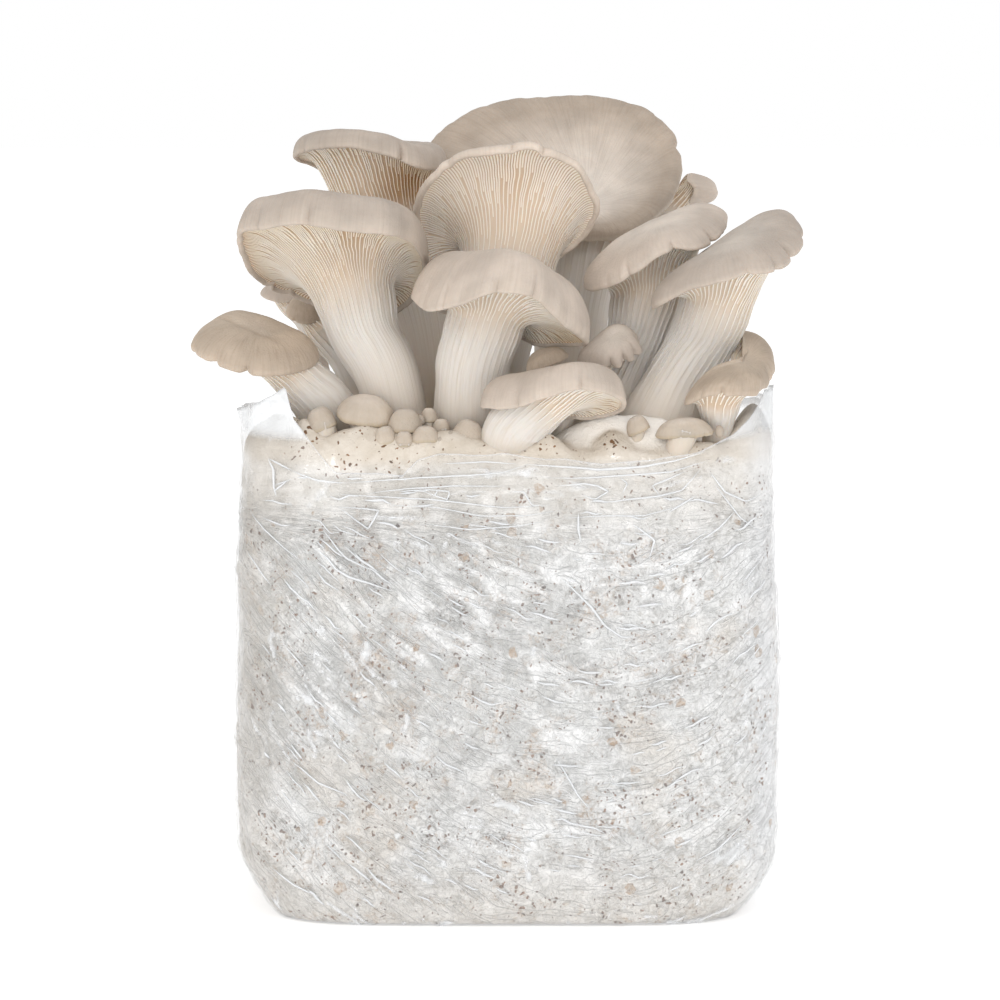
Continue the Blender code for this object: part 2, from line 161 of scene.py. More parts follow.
class Lattice:
    """Smooth noise between 0 and 1, read from a seeded lattice, so it is the same each run."""

    SIDE = 32

    def __init__(self, seed: int) -> None:
        """Fills the lattice from the seed."""
        self.values = np.random.default_rng(seed).random((self.SIDE,) * 3)

    def read(self, points: np.ndarray) -> np.ndarray:
        """Noise at points, whose last axis is x, y and z in lattice steps."""
        whole = np.floor(points).astype(int)
        part = points - whole
        part = part**3 * (part * (part * 6.0 - 15.0) + 10.0)
        total = np.zeros(points.shape[:-1])
        for corner in range(8):
            step = np.array([corner & 1, corner >> 1 & 1, corner >> 2 & 1])
            weight = np.prod(np.where(step, part, 1.0 - part), axis=-1)
            place = (whole + step) % self.SIDE
            total += weight * self.values[place[..., 0], place[..., 1], place[..., 2]]
        return total

    def fractal(self, points: np.ndarray, octaves: int) -> np.ndarray:
        """Noise with finer and weaker noise added, still between 0 and 1."""
        total = np.zeros(points.shape[:-1])
        whole = 0.0
        for octave in range(octaves):
            share = 0.5**octave
            total += share * self.read(points * 2.0**octave + 7.3 * octave)
            whole += share
        return total / whole

    def ridged(self, points: np.ndarray, sharp: float) -> np.ndarray:
        """Noise with thin crests at 1, as in creased film."""
        return (1.0 - np.abs(2.0 * self.read(points) - 1.0)) ** sharp


def grid_normals(rows: np.ndarray) -> np.ndarray:
    """Directions across a grid of points that closes along its second axis."""
    along = np.roll(rows, -1, axis=1) - np.roll(rows, 1, axis=1)
    down = np.gradient(rows, axis=0)
    return unit(np.cross(along, down))


def skin_faces(rows: int, columns: int) -> tuple[np.ndarray, np.ndarray, np.ndarray]:
    """Faces of a closed grid with a single point at each end.

    Args:
        rows: How many rings lie between the two end points.
        columns: How many points a ring has.

    Returns:
        The fan at the first point, the quads row by row, and the fan at the last point.
    """
    i = np.arange(columns)
    j = (i + 1) % columns
    first = np.stack([np.zeros_like(i), 1 + j, 1 + i], axis=1)
    low = 1 + columns * np.arange(rows - 1)[:, None]
    quads = np.stack([low + i, low + j, low + columns + j, low + columns + i], axis=-1)
    top = 1 + columns * (rows - 1)
    last = np.stack([top + i, top + j, np.full_like(i, top + columns)], axis=1)
    return first, quads.reshape(-1, 4), last


def swept_volume(points: np.ndarray, triangles: np.ndarray) -> float:
    """Signed volume inside triangles, positive where they face outwards."""
    a, b, c = (points[triangles[:, k]] for k in range(3))
    return float(np.einsum("ij,ij->i", a, np.cross(b, c)).sum())


@dataclass
class Skin:
    """A closed surface made of rings between two end points."""

    name: str
    first: np.ndarray
    rows: np.ndarray
    last: np.ndarray

    def points(self) -> np.ndarray:
        """All points in order: the first end, the rings, the last end."""
        return np.vstack([self.first, self.rows.reshape(-1, 3), self.last])

    def outward(self) -> float:
        """1 where the rings' own turn already faces outwards, else -1."""
        first, quads, last = skin_faces(*self.rows.shape[:2])
        triangles = np.vstack([first, quads[:, :3], quads[:, [0, 2, 3]], last])
        return 1.0 if swept_volume(self.points(), triangles) > 0 else -1.0

    def mesh(self) -> bpy.types.Mesh:
        """The surface as a mesh in the model's frame, facing outwards."""
        first, quads, last = skin_faces(*self.rows.shape[:2])
        if self.outward() < 0:
            first, quads, last = first[:, ::-1], quads[:, ::-1], last[:, ::-1]
        loops = np.concatenate([first.ravel(), quads.ravel(), last.ravel()])
        sizes = np.concatenate([np.full(len(f), f.shape[1]) for f in (first, quads, last)])
        starts = np.concatenate([[0], np.cumsum(sizes)[:-1]])
        places = self.points() * MM + MIDDLE
        mesh = bpy.data.meshes.new(self.name)
        mesh.vertices.add(len(places))
        mesh.vertices.foreach_set("co", places.ravel())
        mesh.loops.add(len(loops))
        mesh.loops.foreach_set("vertex_index", loops.astype(np.int32))
        mesh.polygons.add(len(sizes))
        mesh.polygons.foreach_set("loop_start", starts.astype(np.int32))
        mesh.update(calc_edges=True)
        mesh.validate()
        mesh.shade_smooth()
        return mesh


def store(mesh: bpy.types.Mesh, name: str, rows: np.ndarray, first: float, last: float) -> None:
    """Keeps one number for each point of a skin's mesh."""
    values = np.concatenate([[first], rows.ravel(), [last]]).astype(np.float32)
    mesh.attributes.new(name, "FLOAT", "POINT").data.foreach_set("value", values)


def store_vectors(mesh: bpy.types.Mesh, name: str, rows: np.ndarray, ends: np.ndarray) -> None:
    """Keeps one vector for each point of a skin's mesh."""
    values = np.vstack([ends[0], rows.reshape(-1, 3), ends[1]]).astype(np.float32)
    mesh.attributes.new(name, "FLOAT_VECTOR", "POINT").data.foreach_set("vector", values.ravel())


def place(name: str, data: bpy.types.ID) -> bpy.types.Object:
    """An object for a mesh, a lamp or a camera, at the origin."""
    made = bpy.data.objects.new(name, data)
    bpy.context.scene.collection.objects.link(made)
    return made


def square_to(direction: np.ndarray) -> tuple[np.ndarray, np.ndarray]:
    """Two directions square to one and to each other, the first as near to +X as may be."""
    first = unit(np.array([1.0, 0.0, 0.0]) - direction * direction[0])
    return first, np.cross(direction, first)


def dress(piece: bpy.types.Object, slot: str, *nodes: str) -> None:
    """Joins a finished piece to the model.

    Args:
        piece: The finished object.
        slot: The record's material slot that its finish belongs to; not used.
        nodes: The CAD nodes that it stands for.
    """
    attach(piece, "root")
    if nodes:
        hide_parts(*nodes)
    log.info("%s: %d faces", piece.name, len(piece.data.polygons))


# ---------------------------------------------------------------- finishes


def node(tree: bpy.types.NodeTree, kind: str, links: dict | None = None, **settings: object):
    """Adds a node with its settings and what its sockets get.

    Args:
        tree: The tree that gets the node.
        kind: Blender's name for the kind of node.
        links: For each input, by name or number, a socket to link or a value to set.
        settings: The node's own settings; stops fills a colour ramp with (place, hex) pairs.

    Returns:
        The new node.
    """
    made = tree.nodes.new(kind)
    stops = settings.pop("stops", ())
    for name, value in settings.items():
        setattr(made, name, value)
    for number, (at, colour) in enumerate(stops):
        ramp = made.color_ramp.elements
        element = ramp[number] if number < 2 else ramp.new(at)
        element.position = at
        element.color = linear(colour)
    for socket, source in (links or {}).items():
        if isinstance(source, bpy.types.NodeSocket):
            tree.links.new(source, made.inputs[socket])
        else:
            made.inputs[socket].default_value = source
    return made


def per_mm(size: float) -> float:
    """A texture's scale for a feature of that many millimetres."""
    return 1.0 / (size * MM)


class Shading:
    """A new material and short ways to add what the finishes are made of.

    What goes in is a socket or a plain value, and a colour may be sRGB hex text.
    """

    GRAIN_MM = 0.8

    def __init__(self, name: str) -> None:
        """Makes the material with an empty node tree."""
        self.material = bpy.data.materials.new(name)
        self.material.use_nodes = True
        self.tree = self.material.node_tree
        self.tree.nodes.clear()

    def kept(self, name: str, output: str = "Fac") -> bpy.types.NodeSocket:
        """What the mesh keeps for each point under that name."""
        return node(self.tree, "ShaderNodeAttribute", attribute_name=name).outputs[output]

    def here(self) -> bpy.types.NodeSocket:
        """Places in the model's own frame."""
        return node(self.tree, "ShaderNodeTexCoord").outputs["Object"]

    def noise(self, vector: object, size: float, detail: float, roughness: float = 0.5,
              distortion: float = 0.0, output: str = "Fac") -> bpy.types.NodeSocket:
        """A noise texture with features of that many millimetres."""
        return node(
            self.tree, "ShaderNodeTexNoise",
            {"Vector": vector, "Scale": per_mm(size), "Detail": detail, "Roughness": roughness,
             "Distortion": distortion},
        ).outputs[output]

    def grain(self, here: object) -> bpy.types.NodeSocket:
        """The finest grain of the fungus's surfaces."""
        return self.noise(here, self.GRAIN_MM, 2.0)

    def cells(self, vector: object, size: float) -> tuple:
        """Scattered cells: the distance to each one's middle, and its three random numbers."""
        cell = node(self.tree, "ShaderNodeTexVoronoi", {"Vector": vector, "Scale": per_mm(size)})
        pick = node(self.tree, "ShaderNodeSeparateColor", {0: cell.outputs["Color"]})
        return cell.outputs["Distance"], *pick.outputs[:3]

    def ramp(self, value: object, start: float, end: float, low: float = 0.0,
             high: float = 1.0) -> bpy.types.NodeSocket:
        """The value turned from start and end to low and high, and held there."""
        return node(
            self.tree, "ShaderNodeMapRange",
            {"Value": value, "From Min": start, "From Max": end, "To Min": low, "To Max": high},
        ).outputs["Result"]

    def maths(self, operation: str, *values: object, clamp: bool = False) -> bpy.types.NodeSocket:
        """Values joined by an operation."""
        return node(
            self.tree, "ShaderNodeMath", dict(enumerate(values)), operation=operation,
            use_clamp=clamp,
        ).outputs[0]

    def times(self, first: object, second: object) -> bpy.types.NodeSocket:
        """Two values multiplied."""
        return self.maths("MULTIPLY", first, second)

    def most(self, first: object, second: object) -> bpy.types.NodeSocket:
        """The larger of two values."""
        return self.maths("MAXIMUM", first, second)

    def blend(self, share: object, first: object, second: object,
              **settings: object) -> bpy.types.NodeSocket:
        """One colour turned to another by a share."""
        colours = [linear(c) if isinstance(c, str) else c for c in (first, second)]
        return node(
            self.tree, "ShaderNodeMix", {0: share, 6: colours[0], 7: colours[1]},
            data_type="RGBA", **settings,
        ).outputs[2]

    def bump(self, strength: object, distance: float, height: object) -> bpy.types.NodeSocket:
        """The surface's direction with a fine relief, whose distance is in metres."""
        return node(
            self.tree, "ShaderNodeBump",
            {"Strength": strength, "Distance": distance, "Height": height},
        ).outputs["Normal"]

    def surface(self, links: dict) -> bpy.types.Material:
        """Adds the shader with what its sockets get.

        Args:
            links: For each of the shader's inputs, a socket to link or a value to set.

        Returns:
            The finished material.
        """
        shader = node(self.tree, "ShaderNodeBsdfPrincipled", links)
        node(self.tree, "ShaderNodeOutputMaterial", {"Surface": shader.outputs["BSDF"]})
        return self.material


@dataclass(frozen=True)
class Cuticle:
    """Cap skin: the fungus's own dry, suede-like cuticle with fibrils that run to the margin.

    To the eye it is matt with a soft sheen, faintly streaked, a little darker where the pigment
    gathers near the margin, and paler again on the lip that rolls in under a grown cap.
    """

    name: str
    crown: str
    middle: str
    margin: str
    fibril: str
    lip: str
    fibril_share: float = 0.18
    roughness: float = 0.62
    fibril_mm: float = 1.0
    mottle_mm: float = 12.0

    def material(self) -> bpy.types.Material:
        """Builds the cuticle's material."""
        made = Shading(self.name)
        here = made.here()
        streak = made.noise(made.kept("fibre", "Vector"), self.fibril_mm, 5.0, 0.65)
        body = node(
            made.tree, "ShaderNodeValToRGB", {"Fac": made.kept("across")},
            stops=((0.0, self.crown), (1.0, self.lip), (0.45, self.middle), (0.80, self.margin),
                   (0.985, self.margin)),
        ).outputs["Color"]
        lines = made.ramp(streak, 0.45, 0.68, 0.0, self.fibril_share)
        streaked = made.blend(lines, body, self.fibril)
        clouds = made.ramp(made.noise(here, self.mottle_mm, 4.0), 0.35, 0.7, 0.88, 1.08)
        # the mottle, times the shade kept on the mesh, which is painted light and shade: lighter
        # and darker caps and lightened or darkened spots
        darker = made.times(clouds, made.kept("shade"))
        height = made.maths("MULTIPLY_ADD", streak, 0.25, made.grain(here))
        return made.surface({
            "Base Color": made.blend(1.0, streaked, darker, blend_type="MULTIPLY"),
            "Roughness": self.roughness, "Subsurface Weight": 0.12,
            "Subsurface Radius": (0.003, 0.002, 0.0014), "Subsurface Scale": 1.0,
            "Normal": made.bump(0.8, 0.0003, height), "IOR": 1.4, "Specular IOR Level": 0.35,
        })


@dataclass(frozen=True)
class Flesh:
    """Gills and stem: the fungus's pale flesh, blades below the cap and long fibres in the stem.

    To the eye the blades' edges are cream, the gaps between them a darker tan, which is painted
    shade between the blades, and both turn brown where the flesh is stained and where shade is
    painted under the margin and in shadowed spots; the stem is off-white with fine lengthwise
    streaks.
    """

    name: str = "oyster_mushroom_flesh_gills_and_stem"
    edge: str = "#F1EBE2"
    gap: str = "#DACBB9"
    stain_and_shade_gap: str = "#A67A46"
    stain_and_shade_edge: str = "#E4D2B6"
    stem: str = "#D5CFC8"
    stem_streak: str = "#C6BCB0"
    foot: str = "#D0C4B6"
    streak_mm: float = 2.2

    def material(self) -> bpy.types.Material:
        """Builds the flesh's material."""
        made = Shading(self.name)
        along, stain = made.kept("along"), made.kept("stain")
        streak = made.noise(made.kept("fibre", "Vector"), self.streak_mm, 6.0, 0.65)
        stem = made.blend(made.ramp(streak, 0.46, 0.72), self.stem, self.stem_streak)
        # darker and warmer towards the foot: partly the stem's own colour, partly painted shade low
        # among the stems
        stem = made.blend(made.ramp(along, -0.5, -1.0), stem, self.foot)
        # the gaps' darker tan is painted shade between the blades; the stain kept on the mesh turns
        # gaps and edges brown, for real stain and for painted shade
        gap = made.blend(stain, self.gap, self.stain_and_shade_gap)
        edge = made.blend(stain, self.edge, self.stain_and_shade_edge)
        gills = made.blend(made.kept("ridge"), gap, edge)
        pale = made.blend(made.ramp(along, -0.2, 0.25), stem, gills)
        height = made.maths("MULTIPLY_ADD", made.grain(made.here()), 0.25, streak)
        # the shade kept on the mesh is painted light and shade, multiplied into the flesh's colour
        return made.surface({
            "Base Color": made.blend(1.0, pale, made.kept("shade"), blend_type="MULTIPLY"),
            "Roughness": 0.55, "Subsurface Weight": 0.25,
            "Subsurface Radius": (0.004, 0.0026, 0.0016), "Subsurface Scale": 1.0,
            "Normal": made.bump(0.35, 0.0005, height), "IOR": 1.4, "Specular IOR Level": 0.35,
        })


@dataclass(frozen=True)
class Mycelium:
    """Sawdust grown through with mycelium: white felt and strands over brown wood crumbs.

    To the eye it is cottony white with translucent grey patches full of tangled threads, white
    strands that hang across it, brown shavings and specks in clusters, a few tan grains, and
    cream where it meets the air and at the foot. Where it is pressed against the film it is
    damp and shines.
    """

    name: str = "mycelium_on_sawdust"
    white: str = "#F6F5F4"
    felt: str = "#CFCECB"
    grey: str = "#ABA9A5"
    thread_shade: str = "#7C7268"
    cream: str = "#DCD2C5"
    cream_shade: str = "#C4B6A3"
    flesh: str = "#FFFAF3"
    tan: str = "#A98559"
    shaving: str = "#94683A"
    speck: str = "#4A2E12"
    rust: str = "#80521E"
    side_left: str = "#A89B89"
    side_right: str = "#EEEFF1"
    patch_mm: float = 22.0
    cluster_mm: float = 19.0
    cloud_mm: float = 9.0
    fuzz_mm: float = 2.6
    tangle_mm: float = 3.0
    strand_mm: float = 7.0
    thread_mm: float = 4.0
    curl_mm: float = 5.5
    speck_mm: float = 1.8
    grain_mm: float = 9.0
    tint_mm: float = 8.0
    warmth_mm: float = 34.0
    taut_mm: float = 3.6
    # how finely and how far, in metres, the outlines of grains and specks are bent
    bend_mm: float = 3.6
    bend: float = 0.0045
    # heights in metres between which each zone comes in: the cream foot, the calm felt below
    # the free edge, the open grown top, and the felt that is pressed against the film
    foot_reach: tuple = (0.036, 0.004)
    calm_reach: tuple = (0.140, 0.166)
    open_reach: tuple = (0.168, 0.177)
    pressed_reach: tuple = (0.181, 0.174)

    def material(self) -> bpy.types.Material:
        """Builds the mycelium's material."""
        made = Shading(self.name)
        ramp, maths, blend, times, most = made.ramp, made.maths, made.blend, made.times, made.most

        def noise(vector: object, size: float, detail: float, distortion: float = 0.0) -> object:
            """Noise as rough as all of the felt's."""
            return made.noise(vector, size, detail, 0.6, distortion)

        def crest(value: object, width: float) -> object:
            """1 along the lines where a noise passes its middle, as threads do."""
            return ramp(maths("ABSOLUTE", maths("SUBTRACT", value, 0.5)), width, 0.0)

        here, flow = made.here(), made.kept("flow", "Vector")
        crust = made.kept("crust")
        x, _, z = node(made.tree, "ShaderNodeSeparateXYZ", {0: here}).outputs
        grown = ramp(z, *self.open_reach)
        covered = ramp(grown, 1.0, 0.0)
        calm = ramp(z, *self.calm_reach)
        lively = ramp(calm, 1.0, 0.0, 0.2, 1.0)
        patch = noise(here, self.patch_mm, 8.0, 0.8)
        cluster = noise(here, self.cluster_mm, 4.0, 0.6)
        tint = noise(here, self.tint_mm, 3.0, 0.5)
        fuzz = noise(here, self.fuzz_mm, 5.0, 1.0)
        tangle = crest(noise(here, self.tangle_mm, 3.0, 2.4), 0.030)
        thread = times(crest(noise(here, self.thread_mm, 1.0, 2.6), 0.035), lively)
        strand = times(crest(noise(flow, self.strand_mm, 1.5, 1.4), 0.035), lively)
        curl = crest(noise(here, self.curl_mm, 2.0, 3.0), 0.020)
        cloud = ramp(noise(here, self.cloud_mm, 3.0, 1.2), 0.46, 0.64, 0.0, 0.55)

        # felt: grey patches, white clouds, dark tangles, white threads and strands
        zone = ramp(cluster, 0.44, 0.58)
        felt = blend(ramp(patch, 0.38, 0.62), self.grey, self.felt)
        felt = blend(cloud, felt, self.white)
        dark = most(times(ramp(fuzz, 0.50, 0.62), 0.8), tangle)
        dark = times(times(dark, ramp(zone, 0.0, 1.0, 0.05, 0.8)), lively)
        felt = blend(dark, felt, blend(ramp(tint, 0.47, 0.58), self.thread_shade, self.tan))
        felt = blend(ramp(made.kept("band"), 0.25, 0.85, 0.0, 0.85), felt, self.white)
        felt = blend(times(thread, 0.25), felt, self.white)
        felt = blend(times(strand, 0.45), felt, self.white)
        curl = times(times(curl, ramp(tint, 0.48, 0.54)), zone)
        felt = blend(times(curl, 0.75), felt, self.shaving)
        # cream where it meets the air and at the foot, and painted light that makes the felt whiter
        # low down and to the right
        foot = ramp(z, *self.foot_reach, 0.0, 0.45)
        warmth = ramp(noise(here, self.warmth_mm, 2.0), 0.53, 0.70, 0.0, 0.45)
        warmth = most(warmth, times(calm, 0.45))
        warmer = most(times(grown, 0.85), most(foot, warmth))
        lit = most(ramp(x, 0.0, 0.08, 0.0, 0.6), ramp(z, 0.09, 0.04, 0.0, 0.5))
        felt = blend(times(lit, ramp(fuzz, 0.60, 0.45)), felt, self.white)
        damp = most(ramp(fuzz, 0.56, 0.40, 0.0, 0.4), ramp(patch, 0.6, 0.4, 0.1, 0.7))
        felt = blend(warmer, felt, blend(damp, self.cream, self.cream_shade))
        felt = blend(ramp(x, -0.072, -0.098, 0.0, 0.6), felt, self.side_left)
        felt = blend(ramp(x, 0.088, 0.098, 0.0, 0.5), felt, self.side_right)

        # tan grains with a brown rim, on the covered sides only
        bent = node(
            made.tree, "ShaderNodeVectorMath",
            {0: made.noise(here, self.bend_mm, 2.0, output="Color"), 3: self.bend},
            operation="SCALE",
        ).outputs[0]
        bent = node(made.tree, "ShaderNodeVectorMath", {0: here, 1: bent}).outputs[0]
        away, chosen, wide, _ = made.cells(bent, self.grain_mm)
        depth = maths("SUBTRACT", ramp(wide, 0.0, 1.0, 0.10, 0.26), away)
        chip = times(ramp(depth, 0.0, 0.03), maths("GREATER_THAN", chosen, 0.7))
        chip = times(chip, covered)
        rim = times(ramp(depth, 0.06, 0.02), chip)
        felt = blend(times(chip, ramp(fuzz, 0.40, 0.60, 0.25, 0.7)), felt, self.tan)
        felt = blend(times(rim, ramp(tint, 0.40, 0.60, 0.0, 0.6)), felt, self.shaving)

        # brown specks, most of them in clusters and in the porous crust
        away, _, wide, shade = made.cells(bent, self.speck_mm)
        often = times(ramp(cluster, 0.38, 0.60, 0.14, 0.46), ramp(grown, 1.0, 0.0, 0.6))
        often = maths("ADD", often, times(ramp(crust, 0.5, 1.0, 0.0, 0.45), grown))
        reach = times(times(often, wide), ramp(crust, 0.1, 0.5))
        speck = ramp(maths("SUBTRACT", reach, away), 0.0, 0.08, 0.0, 0.9)
        felt = blend(times(ramp(crust, 0.45, 0.10), grown), felt, self.flesh)

        # the relief of the felt, and that of the film-smooth coat where it is pressed
        rough = maths("ADD", times(strand, 0.7), times(thread, 0.4))
        rough = maths("SUBTRACT", rough, times(fuzz, 1.4))
        slick = maths("ADD", noise(flow, self.taut_mm, 2.0, 0.6), times(strand, 0.35))
        return made.surface({
            "Base Color": blend(speck, felt, blend(shade, self.speck, self.rust)),
            "Roughness": 0.85, "Specular IOR Level": 0.3,
            "Normal": made.bump(ramp(grown, 1.0, 0.0, 0.6, 0.9), 0.0008, rough),
            "Coat Weight": ramp(z, *self.pressed_reach), "Coat Roughness": 0.13, "Coat IOR": 1.5,
            "Coat Normal": made.bump(1.0, 0.0006, slick),
        })


@dataclass(frozen=True)
class ClearFilm:
    """Blown polypropylene film: thin, clear and glossy.

    To the eye it is nearly invisible where it clings, with sharp small highlights, and milky
    where it is creased or doubled and where it is seen edge on; the milky white on creased film
    and at its free edge is partly painted highlight.
    """

    name: str = "clear_polypropylene_film"
    milky: str = "#F3F5F7"
    clear_alpha: float = 0.08
    crease_and_highlight_alpha: float = 0.66
    roughness: float = 0.14
    fine_mm: float = 3.0

    def material(self) -> bpy.types.Material:
        """Builds the film's material."""
        made = Shading(self.name)
        facing = node(made.tree, "ShaderNodeLayerWeight", {"Blend": 0.25}).outputs["Facing"]
        # the milky white on creased film: partly the film's own milkiness, partly painted highlight
        creased = made.ramp(made.kept("crease_and_highlight"), 0.30, 1.0, self.clear_alpha, self.crease_and_highlight_alpha)
        grazing = made.maths("POWER", facing, 4.0)
        fine = made.noise(made.here(), self.fine_mm, 3.0, distortion=1.0)
        return made.surface({
            "Base Color": linear(self.milky), "Roughness": self.roughness, "IOR": 1.5,
            "Specular IOR Level": 1.0, "Coat Weight": 1.0, "Coat Roughness": 0.08,
            "Alpha": made.maths("MULTIPLY_ADD", grazing, 0.5, creased, clamp=True),
            "Normal": made.bump(0.5, 0.0010, fine),
        })


@dataclass(frozen=True)
class LitFloor:
    """The studio's floor: matt white acrylic, lit a little from below as a light table is.

    To the eye it stays white out to its edge, with only a soft shade where the bag stands.
    """

    name: str = "matt_white_acrylic_floor"
    colour: str = "#FAFAFA"
    glow: float = 0.36

    def material(self) -> bpy.types.Material:
        """Builds the floor's material."""
        return Shading(self.name).surface({
            "Base Color": linear(self.colour), "Roughness": 0.9, "Specular IOR Level": 0.1,
            "Emission Color": linear(self.colour), "Emission Strength": self.glow,
        })


class CapTone(Enum):
    """The cap colours in the cluster."""

    PALE = Cuticle(
        "oyster_cap_cuticle_pale", crown="#CFC5BA", middle="#C9BEB3", margin="#BFB2A6",
        fibril="#988879", lip="#C6B9AC",
    )
    TAUPE = Cuticle(
        "oyster_cap_cuticle_taupe", crown="#E6DDD3", middle="#D4C8BC", margin="#B0A192",
        fibril="#8F7E6F", lip="#C2B5A6", fibril_share=0.25,
    )
    DARK = Cuticle(
        "oyster_cap_cuticle_dark", crown="#C7B9AA", middle="#C3B4A3", margin="#B7A796",
        fibril="#8A7764", lip="#BFAF9E", fibril_share=0.26,
    )
    BUTTON = Cuticle(
        "oyster_cap_cuticle_young", crown="#D6CCC1", middle="#D1C6BA", margin="#BFB2A3",
        fibril="#A8977F", lip="#BBAC97", fibril_share=0.15,
    )


class MeshTree:
    """A Geometry Nodes tree with named inputs, which ends in real geometry with a material."""

    def __init__(self, name: str, **inputs: str) -> None:
        """Makes the tree.

        Args:
            name: The tree's name.
            inputs: The kind of each input beside the geometry, such as Float.
        """
        self.tree = bpy.data.node_groups.new(name, "GeometryNodeTree")
        face = self.tree.interface
        face.new_socket("Geometry", in_out="INPUT", socket_type="NodeSocketGeometry")
        self.inputs = {
            title: face.new_socket(title, in_out="INPUT", socket_type=f"NodeSocket{kind}")
            for title, kind in inputs.items()
        }
        face.new_socket("Geometry", in_out="OUTPUT", socket_type="NodeSocketGeometry")
        self.given = node(self.tree, "NodeGroupInput").outputs

    def add(self, kind: str, links: dict, **settings: object) -> bpy.types.NodeOutputs:
        """Adds a node and gives its outputs."""
        return node(self.tree, kind, links, **settings).outputs

    def kept(self, name: str, kind: str = "FLOAT") -> bpy.types.NodeSocket:
        """What the mesh keeps under that name."""
        links = {"Name": name}
        return self.add("GeometryNodeInputNamedAttribute", links, data_type=kind)["Attribute"]

    def times(self, first: object, second: object) -> bpy.types.NodeSocket:
        """Two values multiplied."""
        return self.add("ShaderNodeMath", {0: first, 1: second}, operation="MULTIPLY")[0]

    def mark(self, geometry: object, name: str, **more: object) -> bpy.types.NodeSocket:
        """Keeps 1 on the geometry's points under that name, or on the selected ones."""
        return self.add(
            "GeometryNodeStoreNamedAttribute",
            {"Geometry": geometry, "Name": name, "Value": 1.0, **more},
            data_type="FLOAT", domain="POINT",
        )[0]

    def finish(self, geometry: object, material: str, **more: object) -> None:
        """Ends the tree.

        Args:
            geometry: The geometry so far.
            material: The input that brings the material.
            more: Other inputs of Set Material, such as Selection.
        """
        real = self.add("GeometryNodeRealizeInstances", {0: geometry})[0]
        links = {"Geometry": real, "Material": self.given[material], **more}
        self.add("NodeGroupOutput", {0: self.add("GeometryNodeSetMaterial", links)[0]})

    def run_on(self, piece: bpy.types.Object, **values: object) -> None:
        """Runs the tree on a piece and keeps the result as its plain mesh.

        Args:
            piece: The piece, whose mesh is replaced.
            values: What the tree's inputs get.
        """
        modifier = piece.modifiers.new(self.tree.name, "NODES")
        modifier.node_group = self.tree
        for title, value in values.items():
            modifier[self.inputs[title].identifier] = value
        graph = bpy.context.evaluated_depsgraph_get()
        made = bpy.data.meshes.new_from_object(piece.evaluated_get(graph))
        piece.modifiers.clear()
        old = piece.data
        piece.data = made
        made.name = piece.name
        bpy.data.meshes.remove(old)


# ---------------------------------------------------------------- bag and block


